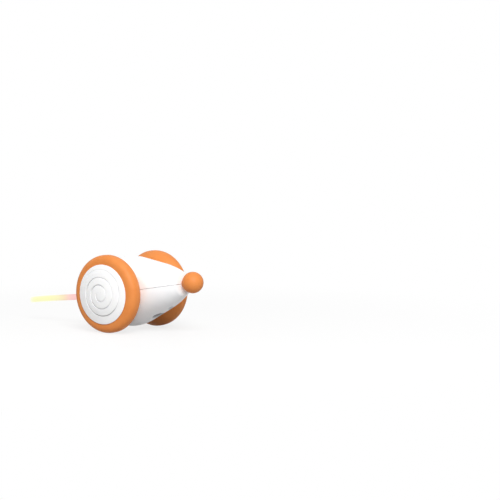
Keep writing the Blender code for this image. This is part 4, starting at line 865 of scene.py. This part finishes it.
@dataclass(frozen=True)
class Shells:
    """The two halves of the clamshell body."""

    screws: Screws
    button: Button
    parting: float = 0.28 * MM
    segments: int = 144
    inner_segments: int = 96
    small_segments: int = 48
    outer_steps: tuple[int, int] = (14, 30)
    inner_steps: tuple[int, int] = (10, 20)
    bush_bore: float = 3.6 * MM
    stem_bore: float = 3.7 * MM
    tail_bore: float = 2.75 * MM
    nose_seat_radius: float = 5.2 * MM
    socket_size: Point = (9.0 * MM, 3.2 * MM)
    socket_margin: float = 0.5 * MM
    socket_level: float = 12.5 * MM
    socket_end: float = -17.8 * MM
    socket_round: float = 0.98
    socket_round_steps: int = 10
    board_level: float = 9.4 * MM
    board_shoulder: float = 10.9 * MM
    standoffs: tuple[Point, ...] = ((-4.7 * MM, 6.6 * MM), (14.7 * MM, 6.6 * MM))
    standoff_radius: float = 1.6 * MM
    standoff_peg: float = 0.8 * MM
    pad_radius: float = 2.0 * MM
    pad_face: float = 17.1 * MM
    upper_pad: Point = (10.6 * MM, 4.6 * MM)
    lower_pad: Point = (-6.5 * MM, -13.0 * MM)
    rib_x: float = -19.63 * MM
    rib_size: Point = (1.2 * MM, 1.5 * MM)
    rib_side: float = 7.0 * MM
    rib_foot: float = 1.7 * MM
    weight_rib: tuple[float, float, float, float] = (-3.7 * MM, -2.5 * MM, 8.2 * MM, -11.4 * MM)

    def bores(self) -> list[Solid]:
        """Shape the bores that both halves share.

        Returns:
            Cutters for the axle on each side, the nose's stem and the tail.
        """
        inside, more = SKIN.half_width - SKIN.wall, CHASSIS.overrun
        bores = [moved(cylinder(self.bush_bore, inside - more, SKIN.half_width + more), CHASSIS.outward(hand))
                 for hand in Hand]
        seat = SKIN.seat_at(self.nose_seat_radius)
        bores.append(moved(cylinder(self.stem_bore, seat - more, SKIN.face_at(0.0) + more), ALONG_BODY))
        bores.append(moved(cylinder(self.tail_bore, -SKIN.rear - more, -SKIN.rear + SKIN.wall + more),
                           ALONG_BODY))
        return bores

    def half(self, span: Point, islands: Sequence[Solid], holes: Solid) -> Solid:
        """Cut one half of the body out of the turned form.

        Args:
            span: Lowest and highest level of the half.
            islands: What stays standing inside the hollow.
            holes: Openings and bores.

        Returns:
            The half shell in the row frame.
        """
        reach, wide = 2 * SKIN.radius, SKIN.half_width
        inside = wide - SKIN.wall
        hollow = moved(spun(SKIN.outline(SKIN.wall, *self.inner_steps), self.inner_segments), ALONG_BODY)
        hollow = carved(hollow, [("INTERSECT", block((-reach, -inside, -reach), (reach, inside, reach))),
                                 *(("DIFFERENCE", island) for island in islands)])
        outer = moved(spun(SKIN.outline(0.0, *self.outer_steps), self.segments), ALONG_BODY)
        half = carved(outer, [("INTERSECT", block((-reach, -wide, span[0]), (reach, wide, span[1]))),
                              ("DIFFERENCE", hollow), ("DIFFERENCE", holes)])
        return moved(half, CHASSIS.body())

    def turned(self, outline: Sequence[Point], place: Point) -> Solid:
        """Return a small turned form that stands at a place."""
        return moved(spun(outline, self.small_segments), Matrix.Translation((*place, 0.0)))

    def pads(self, place: Point) -> list[Solid]:
        """Shape the pads on the side walls that the gear covers rest against.

        Args:
            place: Place ahead of the left wheel's motor and level, in the body's frame.

        Returns:
            One pad for each side.
        """
        return [moved(cylinder(self.pad_radius, self.pad_face, CHASSIS.track,
                               (-hand.value * place[0], -hand.value * place[1])), CHASSIS.outward(hand))
                for hand in Hand]

    def upper_islands(self) -> Solid:
        """Shape what stands in the upper half.

        Returns:
            Its bosses, standoffs, pads and ribs.
        """
        top = 2 * SKIN.radius
        solids = [cylinder(self.screws.boss, 0.0, top, place) for place in self.screws.places]
        outline = [(0.0, top), (self.standoff_radius, top), (self.standoff_radius, self.board_shoulder),
                   (self.standoff_peg, self.board_shoulder), (self.standoff_peg, self.board_level),
                   (0.0, self.board_level)]
        solids += [self.turned(outline, (x, y)) for x, side in self.standoffs for y in (-side, side)]
        solids += self.pads(self.upper_pad)
        for way in (-1.0, 1.0):
            near, far = sorted((way * self.rib_side, way * (self.rib_side - self.rib_size[1])))
            solids.append(block((self.rib_x, near, self.rib_foot), (self.rib_x + self.rib_size[0], far, top)))
        return gathered(solids)

    def lower_islands(self) -> Solid:
        """Shape what stands in the lower half.

        Returns:
            Its bosses, pads, the weight's rib and the button's pad.
        """
        floor = -2 * SKIN.radius
        solids = [cylinder(self.screws.boss, floor, 0.0, place) for place in self.screws.places]
        rear, front, side, top = self.weight_rib
        solids += [*self.pads(self.lower_pad), block((rear, -side, floor), (front, side, top)),
                   self.button.housing()]
        return gathered(solids)

    def socket_opening(self) -> Solid:
        """Shape the rounded opening round the charging socket.

        Returns:
            The cutter.
        """
        width, height = (size / 2 + self.socket_margin for size in self.socket_size)
        shape = bmesh.new()
        size = Matrix.Diagonal((2 * CHASSIS.track, 2 * width, 2 * height, 1.0))
        bmesh.ops.create_cube(shape, size=1.0, matrix=size)
        sides = [edge for edge in shape.edges if abs(edge.verts[0].co.x - edge.verts[1].co.x) > height]
        bmesh.ops.bevel(shape, geom=sides, offset=height * self.socket_round,
                        segments=self.socket_round_steps, profile=0.5, affect="EDGES", material=-1)
        return moved(shape, Matrix.Translation((self.socket_end - CHASSIS.track, 0.0, self.socket_level)))

    def build(self) -> None:
        """Build both halves."""
        reach, level = 2 * SKIN.radius, self.parting / 2
        screws, gap, more = self.screws, CHASSIS.gap, CHASSIS.overrun
        bore, wide = screws.shank + gap, screws.head + gap
        deep = screws.length - screws.head_depth + gap
        holes = [*self.bores(), *(cylinder(bore, -more, deep, place) for place in screws.places),
                 self.socket_opening()]
        upper = self.half((level, reach), [self.upper_islands()], gathered(holes))
        piece("body_top", upper, WARDROBE.shell, "upper_shell")
        seat = -screws.head_depth + gap
        outline = [(0.0, more), (bore, more), (bore, seat), (wide, seat), (wide, -reach), (0.0, -reach)]
        holes = [*self.bores(), *(self.turned(outline, place) for place in screws.places),
                 self.button.pocket()]
        lower = self.half((-reach, -level), [self.lower_islands(), self.button.posts()], gathered(holes))
        piece("body_belly", lower, WARDROBE.shell, "lower_shell")


@dataclass(frozen=True)
class Nose:
    """The hollow ball on the snout."""

    radius: float = 8.21 * MM
    distance: float = 60.5 * MM
    wall: float = 1.4 * MM
    stem: float = 3.4 * MM
    bore: float = 1.6 * MM
    flange: float = 5.2 * MM
    flange_thickness: float = 1.4 * MM
    segments: int = 96
    steps: int = 40

    def build(self) -> None:
        """Build the ball, its stem and the flange inside the shells."""
        front = SKIN.seat_at(self.flange) - CHASSIS.gap
        back = front - self.flange_thickness
        hollow = self.radius - self.wall
        joint, throat = math.asin(self.stem / self.radius), math.asin(self.bore / hollow)
        outside = arc((0.0, 0.0), self.radius, 0.0, math.pi - joint, self.steps)
        inside = arc((0.0, 0.0), hollow, math.pi - throat, 0.0, self.steps // 2)
        outer, inner = ([(r, self.distance + h) for h, r in curve] for curve in (outside, inside))
        outline = [*outer, (self.stem, front), (self.flange, front), (self.flange, back), (self.bore, back),
                   *inner]
        outline[0], outline[-1] = (0.0, outline[0][1]), (0.0, outline[-1][1])
        solid = moved(spun(outline, self.segments), CHASSIS.body() @ ALONG_BODY)
        piece("nose", solid, WARDROBE.orange, "nose_ball")


@dataclass(frozen=True)
class Tail:
    """The oval, lit tail that curves out of the back."""

    height: float = 4.9 * MM
    width: float = 3.8 * MM
    tip_share: float = 0.96
    end: Point = (-107.82 * MM, -13.5 * MM)
    slope: float = math.radians(8.0)
    flange: float = 3.8 * MM
    flange_thickness: float = 1.0 * MM
    seat: float = -23.33 * MM
    sides: int = 40
    rings: int = 90
    tip_rings: int = 9
    rim_power: int = 3
    crease: float = 50.0

    def centre(self, share: float) -> Vector:
        """Follow the centre line in the axle's upright plane.

        Args:
            share: Share of its length, 0 at the root.

        Returns:
            The point there.
        """
        lean = CHASSIS.lean()
        root, tip = (-SKIN.rear + SKIN.wall) * lean, Vector(self.end)
        reach = (tip - root).length / 3
        leave = root - reach * lean
        arrive = tip + reach * Vector((math.cos(self.slope), math.sin(self.slope)))
        rest = 1.0 - share
        return (rest ** 3 * root + 3 * rest * rest * share * leave + 3 * rest * share * share * arrive
                + share ** 3 * tip)

    def stations(self) -> list[tuple[Vector, Vector, Point]]:
        """Set out the rings from the flange to the tip.

        Returns:
            (centre, direction, half sizes) of each ring.
        """
        lean = CHASSIS.lean()
        back = self.seat * lean
        flange = (self.flange, self.flange)
        half = (self.width / 2, self.height / 2)
        rows = [(back + self.flange_thickness * lean, lean, flange), (back, lean, flange), (back, lean, half)]
        fixed = len(rows)
        for ring in range(1, self.rings + 1):
            share = ring / self.rings
            step = 0.5 / self.rings
            run = self.centre(share - step) - self.centre(min(share + step, 1.0))
            taper = 1.0 + (self.tip_share - 1.0) * share
            rows.append((self.centre(share), run.normalized(), (half[0] * taper, half[1] * taper)))
        tip, run, half = rows.pop()
        for ring in range(self.tip_rings):
            angle = QUARTER * ring / self.tip_rings
            inward = half[1] * (1.0 - math.sin(angle))
            rows.append((tip + run * inward, run, (half[0] * math.cos(angle), half[1] * math.cos(angle))))
        return [row for index, row in enumerate(rows)
                if index < fixed or (rows[index - 1][0] - row[0]).dot(row[1]) > 0.0]

    def build(self) -> None:
        """Build the tail ring by ring and store how far along and how near its edge each point is."""
        shape = bmesh.new()
        along = shape.verts.layers.float.new("along")
        rim = shape.verts.layers.float.new("rim")
        rows = []
        for centre, run, (across, upward) in self.stations():
            ring = bmesh.ops.create_circle(shape, radius=1.0, segments=self.sides)["verts"]
            for vert in ring:
                side, lift = vert.co.x, vert.co.y
                vert[rim] = abs(lift) ** self.rim_power
                vert.co = (centre.x - run.y * upward * lift, across * side, centre.y + run.x * upward * lift)
                vert[along] = vert.co.x / self.end[0]
            rows.append(ring)
        loops = [[shape.edges.get(pair) for pair in zip(row, row[1:] + row[:1])] for row in rows]
        for first, second in zip(loops, loops[1:]):
            bmesh.ops.bridge_loops(shape, edges=first + second)
        for row in (rows[0], rows[-1]):
            bmesh.ops.contextual_create(shape, geom=row)
        bmesh.ops.recalc_face_normals(shape, faces=list(shape.faces))
        moved(shape, Matrix.Translation(CHASSIS.axle))
        piece("lit_tail", shape, WARDROBE.tail, "tail", crease=self.crease)


@dataclass(frozen=True)
class Wheel:
    """One wheel: soft tyre, rim and domed cap with its spiral groove."""

    hand: Hand
    crown: float = 2.0 * MM
    shoulder: float = 6.2 * MM
    bulges: tuple[tuple[float, float, float], ...] = ((6.5 * MM, 2.3, 1.0), (8.0 * MM, 1.35, -1.0))
    waist: float = 23.8 * MM
    bore: float = 19.8 * MM
    rim_radius: float = 19.5 * MM
    flange_seat: float = 1.6 * MM
    flange_height: float = 1.6 * MM
    flange_width: float = 1.1 * MM
    rim_wall: float = 1.5 * MM
    rim_end: float = 6.5 * MM
    web: Point = (0.5 * MM, 2.1 * MM)
    boss: float = 4.8 * MM
    boss_end: float = -8.2 * MM
    shaft_bore: float = 2.3 * MM
    screw_bore: float = 1.1 * MM
    cap_radius: float = 22.9 * MM
    cap_edge: float = 7.2 * MM
    cap_back: float = 6.8 * MM
    cap_rise: float = 3.0 * MM
    cap_wall: float = 1.6 * MM
    cap_crease: float = 50.0
    lip_start: float = math.radians(60.0)
    lip_steps: int = 6
    back_shares: tuple[float, ...] = (1.0, 0.75, 0.5, 0.25, 0.0)
    skirt: Point = (17.7 * MM, 1.2 * MM)
    skirt_depth: float = 4.2 * MM
    spiral_start: float = 4.0 * MM
    spiral_pitch: float = 5.7 * MM
    spiral_turns: float = 2.75
    spiral_angle: float = math.radians(205.0)
    spiral_fade: float = 0.9 * MM
    spiral_lean: Point = (-0.9 * MM, -0.5 * MM)
    ramp_width: float = 3.6 * MM
    ramp_share: float = 0.2
    wall_widths: Point = (0.8 * MM, 0.22 * MM)
    # painted shade in the furrow: its place, width and strength along the cap's height, strongest near the
    # bottom
    painted_shade_place: float = -0.2 * MM
    painted_shade_width: float = 0.52 * MM
    painted_shade_marks: tuple[Point, ...] = ((-17.0 * MM, 1.0), (-5.0 * MM, 0.3), (0.0, 0.1), (7.0 * MM, 0.65),
                                     (13.5 * MM, 0.3), (19.0 * MM, 0.0))
    depth_marks: tuple[Point, ...] = ((7.0 * MM, 1.0), (13.5 * MM, 0.6), (19.0 * MM, 0.25))
    groove_depth: float = 0.85 * MM
    segments: int = 160
    cap_segments: int = 440
    cap_rings: int = 190
    steps: int = 16

    def tyre(self) -> list[Point]:
        """Draw the tyre's section.

        Returns:
            Its closed outline.
        """
        gap, crown = CHASSIS.gap, self.crown / 2
        outline: list[Point] = []
        for bulge, power, way in self.bulges:
            curve = []
            for step in range(self.steps + 1):
                angle = QUARTER * step / self.steps
                rise = self.shoulder * max(math.cos(angle), 0.0) ** (2.0 / power)
                lean = (bulge - crown) * math.sin(angle) ** (2.0 / power)
                curve.append((self.waist + rise, way * (crown + lean)))
            outline += list(reversed(curve)) if way > 0 else curve
        inner = -self.bulges[1][0]
        flange, seat = self.bore + self.flange_height + gap, inner + self.flange_seat
        return outline + [(flange, inner), (flange, seat), (self.bore, seat),
                          (self.bore, self.rim_end - 2 * gap), (self.bore + 2 * gap, self.rim_end),
                          outline[0]]

    def rim(self) -> list[Point]:
        """Draw the rim's section: drum, flange, web and boss.

        Returns:
            Its closed outline.
        """
        inner = -self.bulges[1][0]
        front = inner + self.flange_width
        drum = self.rim_radius - self.rim_wall
        flange = self.rim_radius + self.flange_height
        soft = self.flange_width / 4
        low, high = self.web
        return [(self.rim_radius, self.rim_end), (self.rim_radius, front), (flange - soft, front),
                (flange, front - soft), (flange, inner + soft), (flange - soft, inner), (drum + soft, inner),
                (drum, inner + soft), (drum, low), (self.boss, low), (self.boss, self.boss_end + soft),
                (self.boss - soft, self.boss_end), (self.shaft_bore, self.boss_end), (self.shaft_bore, low),
                (self.screw_bore, low), (self.screw_bore, high), (drum, high), (drum, self.rim_end),
                (self.rim_radius, self.rim_end)]

    def dome(self, radius: float) -> float:
        """Return the height of the cap's face at a radius."""
        return self.cap_edge + self.cap_rise * (1.0 - (radius / self.cap_radius) ** 2)

    def cap(self) -> list[Point]:
        """Draw the cap's section, with many rings on its face.

        Returns:
            Its outline, both ends on the axis.
        """
        soft = (self.cap_edge - self.cap_back) / 2
        reach = self.cap_radius - soft
        radii = [reach * ring / self.cap_rings for ring in range(self.cap_rings + 1)]
        outline = [(radius, self.dome(radius)) for radius in radii]
        outline += arc((reach, self.cap_back + soft), soft, self.lip_start, -QUARTER, self.lip_steps)
        outer, wall = self.skirt
        inner = outer - wall
        end = self.cap_back - self.skirt_depth
        outline += [(outer, self.cap_back), (outer, end), (inner, end)]
        return outline + [(inner * share, self.dome(inner * share) - self.cap_wall)
                          for share in self.back_shares]

    def cut_spiral(self, shape: Solid) -> None:
        """Press the spiral furrow into the cap's face; its inner turns lie a little off the centre.

        Args:
            shape: The cap, in the wheel's frame.
        """
        # the furrow layer holds the painted shade mask for the spiral's colour
        furrow = shape.verts.layers.float.new("furrow")
        limit = self.spiral_pitch * self.spiral_turns
        for vert in shape.verts:
            radius = math.hypot(vert.co.x, vert.co.y)
            if abs(vert.co.z - self.dome(radius)) > WELD:
                continue
            lean = 1.0 - radius / self.cap_radius
            x = vert.co.x - self.spiral_lean[0] * lean
            y = -self.hand.value * vert.co.y - self.spiral_lean[1] * lean
            radius = math.hypot(x, y)
            turn = ((math.atan2(y, x) - self.spiral_angle) / math.tau) % 1.0
            depth = 0.0
            for count in range(-1, math.ceil(self.spiral_turns) + 2):
                travel = self.spiral_pitch * (turn + count)
                inside = min(max(travel, 0.0), limit)
                fade = max(0.0, 1.0 - abs(travel - inside) / self.spiral_fade)
                off = radius - self.spiral_start - travel
                depth = max(depth, fade * self.groove_profile(off) * between_marks(self.depth_marks, y))
                # painted shade: mask along the furrow, its strength set by height on the cap
                painted_shade = max(0.0, 1.0 - abs(off - self.painted_shade_place) / self.painted_shade_width)
                vert[furrow] = max(vert[furrow], fade * painted_shade * between_marks(self.painted_shade_marks, y))
            vert.co.z -= self.groove_depth * depth

    def groove_profile(self, off: float) -> float:
        """Shape the groove: a slow ramp outwards that ends in a narrow furrow.

        Args:
            off: Distance outwards from the furrow's line.

        Returns:
            The share of the groove's depth.
        """
        wall = max(0.0, 1.0 - abs(off) / self.wall_widths[0 if off < 0.0 else 1])
        if off >= 0.0:
            return wall
        ramp = max(0.0, 1.0 + off / self.ramp_width)
        return self.ramp_share * ramp + (1.0 - self.ramp_share) * wall

    def build(self) -> None:
        """Build the wheel."""
        prefix, frame = self.hand.prefix, CHASSIS.wheel(self.hand)
        body = prefix + "wheel"
        tyre = moved(spun(self.tyre(), self.segments), frame)
        piece(prefix + "soft_tyre", tyre, WARDROBE.orange, prefix + "tyre", body)
        rim = moved(spun(self.rim(), self.segments), frame)
        piece(prefix + "drum_rim", rim, WARDROBE.cap, prefix + "wheel_rim", body)
        cap = spun(self.cap(), self.cap_segments)
        self.cut_spiral(cap)
        piece(prefix + "spiral_cap", moved(cap, frame), WARDROBE.spiral, prefix + "hub_cap", body,
              self.cap_crease)


@dataclass(frozen=True)
class Insides:
    """CAD nodes that keep their shape and get a finish."""

    plain: tuple[tuple[str, Finish], ...] = (
        ("tail_light", WARDROBE.lamp), ("tail_light_board", WARDROBE.board), ("main_board", WARDROBE.board),
        ("switch_board", WARDROBE.board), ("controller_chip", WARDROBE.black),
        ("motor_driver_chip", WARDROBE.black), ("charging_socket", WARDROBE.steel),
        ("battery", WARDROBE.battery), ("counterweight", WARDROBE.cast), ("tact_switch", WARDROBE.black),
        ("switch_plunger", WARDROBE.black))
    paired: tuple[tuple[str, Finish], ...] = (
        ("motor", WARDROBE.steel), ("motor_pinion", WARDROBE.bronze), ("gear_frame", WARDROBE.frame),
        ("gear_cover", WARDROBE.frame), ("idler_gear", WARDROBE.gear), ("idler_pin", WARDROBE.steel),
        ("output_gear", WARDROBE.gear), ("wheel_shaft", WARDROBE.steel), ("axle_bushing", WARDROBE.bronze),
        ("wheel_screw", WARDROBE.steel))

    def dress(self, nodes: dict) -> None:
        """Give each node its material.

        Args:
            nodes: The CAD objects by name.
        """
        pairs = [(hand.prefix + name, finish) for hand in Hand for name, finish in self.paired]
        for name, finish in (*self.plain, *pairs):
            for slot in nodes[name].material_slots:
                slot.material = finish.material()
            LOG.info("%s: %s", name, finish.name)


@dataclass(frozen=True)
class Camera:
    """The camera that took the photograph."""

    offset: Place = (0.8541, -1.0243, 0.1312)
    right: Place = (0.8103, 0.5860, 0.0)
    back: Place = (0.58438, -0.80806, 0.07437)
    lens: float = 123.26
    sensor: float = 36.0
    clip: Point = (0.05, 50.0)

    def build(self) -> None:
        """Place the camera and make it the scene's."""
        data = bpy.data.cameras.new("photo_camera")
        data.lens, data.sensor_width = self.lens, self.sensor
        data.clip_start, data.clip_end = self.clip
        camera = bpy.data.objects.new("photo_camera", data)
        back = Vector(self.back).normalized()
        right = Vector(self.right)
        right = (right - right.dot(back) * back).normalized()
        turn = Matrix((right, back.cross(right), back)).transposed().to_4x4()
        camera.matrix_world = Matrix.Translation(CHASSIS.axle + Vector(self.offset)) @ turn
        bpy.context.scene.collection.objects.link(camera)
        bpy.context.scene.camera = camera


@dataclass(frozen=True)
class Lamp:
    """A soft area lamp aimed at the toy."""

    name: str
    place: Place
    size: float
    power: float

    def build(self) -> None:
        """Hang the lamp and turn it to the toy."""
        data = bpy.data.lights.new(self.name, "AREA")
        data.shape, data.size, data.energy = "DISK", self.size, self.power
        lamp = bpy.data.objects.new(self.name, data)
        lamp.location = self.place
        lamp.rotation_mode = "QUATERNION"
        lamp.rotation_quaternion = (Vector(self.place) - CHASSIS.axle).to_track_quat("Z", "Y")
        bpy.context.scene.collection.objects.link(lamp)


@dataclass(frozen=True)
class Studio:
    """White sweep, soft lamps and the even light of the room."""

    lamps: tuple[Lamp, ...] = (Lamp("key_lamp", (0.90, -0.84, 1.05), 0.9, 24.0),
                               Lamp("top_lamp", (-0.10, 0.10, 1.60), 1.2, 1.5))
    room: float = 0.42
    floor_dull: float = 0.44
    floor_bright: float = 0.88
    floor_wear: float = 1.02
    floor_wear_scale: float = 3.0
    floor_wear_span: Point = (0.4, 0.6)
    floor_gloss: Point = (0.5, 0.2)
    floor_white: float = 0.78
    floor_size: float = 40.0
    fade: Point = (0.12, 0.40)

    def floor(self) -> None:
        """Lay the pale floor: white to the camera but for the toy's soft shadow."""
        shape = bmesh.new()
        bmesh.ops.create_grid(shape, x_segments=1, y_segments=1, size=self.floor_size / 2)
        thing = linked("studio_floor", shape)
        nodes = NodeMaterial("studio_floor_paint")
        seen, worn = nodes.seen(), nodes.noise(self.floor_wear_scale)
        low, high = self.floor_wear_span
        dull, bright = (nodes.ramp(worn, ((low, (tone,) * 3), (high, (tone * self.floor_wear,) * 3)))
                        for tone in (self.floor_dull, self.floor_bright))
        rough, specular = self.floor_gloss
        nodes.fill(nodes.shader, {"Base Color": nodes.mix(seen, dull, bright), "Roughness": rough,
                                  "Specular IOR Level": specular})
        distance = nodes.add("ShaderNodeVectorMath", {"Vector": nodes.place}, operation="LENGTH")
        white = nodes.add("ShaderNodeMapRange", {
            "Value": distance.outputs["Value"], "From Min": self.fade[0], "From Max": self.fade[1],
            "To Min": self.floor_white, "To Max": 1.0}, interpolation_type="SMOOTHSTEP")
        glow = nodes.add("ShaderNodeEmission", {"Strength": 1.0})
        nodes.surface("Material Output", nodes.maths("MULTIPLY", seen, white.outputs["Result"]),
                      nodes.shader.outputs["BSDF"], glow.outputs["Emission"])
        thing.data.materials.append(nodes.material)

    def world(self) -> None:
        """Make the room light even, and white behind the toy."""
        world = bpy.data.worlds.new("studio_world")
        world.use_nodes = True
        nodes = NodeTree(world.node_tree)
        room = nodes.fill(nodes.tree.nodes["Background"], {"Color": WHITE, "Strength": self.room})
        white = nodes.add("ShaderNodeBackground", {"Color": WHITE})
        nodes.surface("World Output", nodes.seen(), room.outputs[0], white.outputs[0])
        bpy.context.scene.world = world

    def build(self) -> None:
        """Build floor, room and lamps."""
        self.floor()
        self.world()
        for lamp in self.lamps:
            lamp.build()
        bpy.context.scene.view_settings.view_transform = "Standard"


def main() -> None:
    """Build the whole picture."""
    logging.basicConfig(level=logging.INFO, format="%(name)s %(message)s")
    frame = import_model()
    screws, button = Screws(), Button()
    for part in (Camera(), Studio(), Shells(screws, button), button, screws, Nose(), Tail(),
                 *(Wheel(hand) for hand in Hand)):
        part.build()
    Insides().dress(frame["nodes"])


if __name__ == "__main__":
    main()
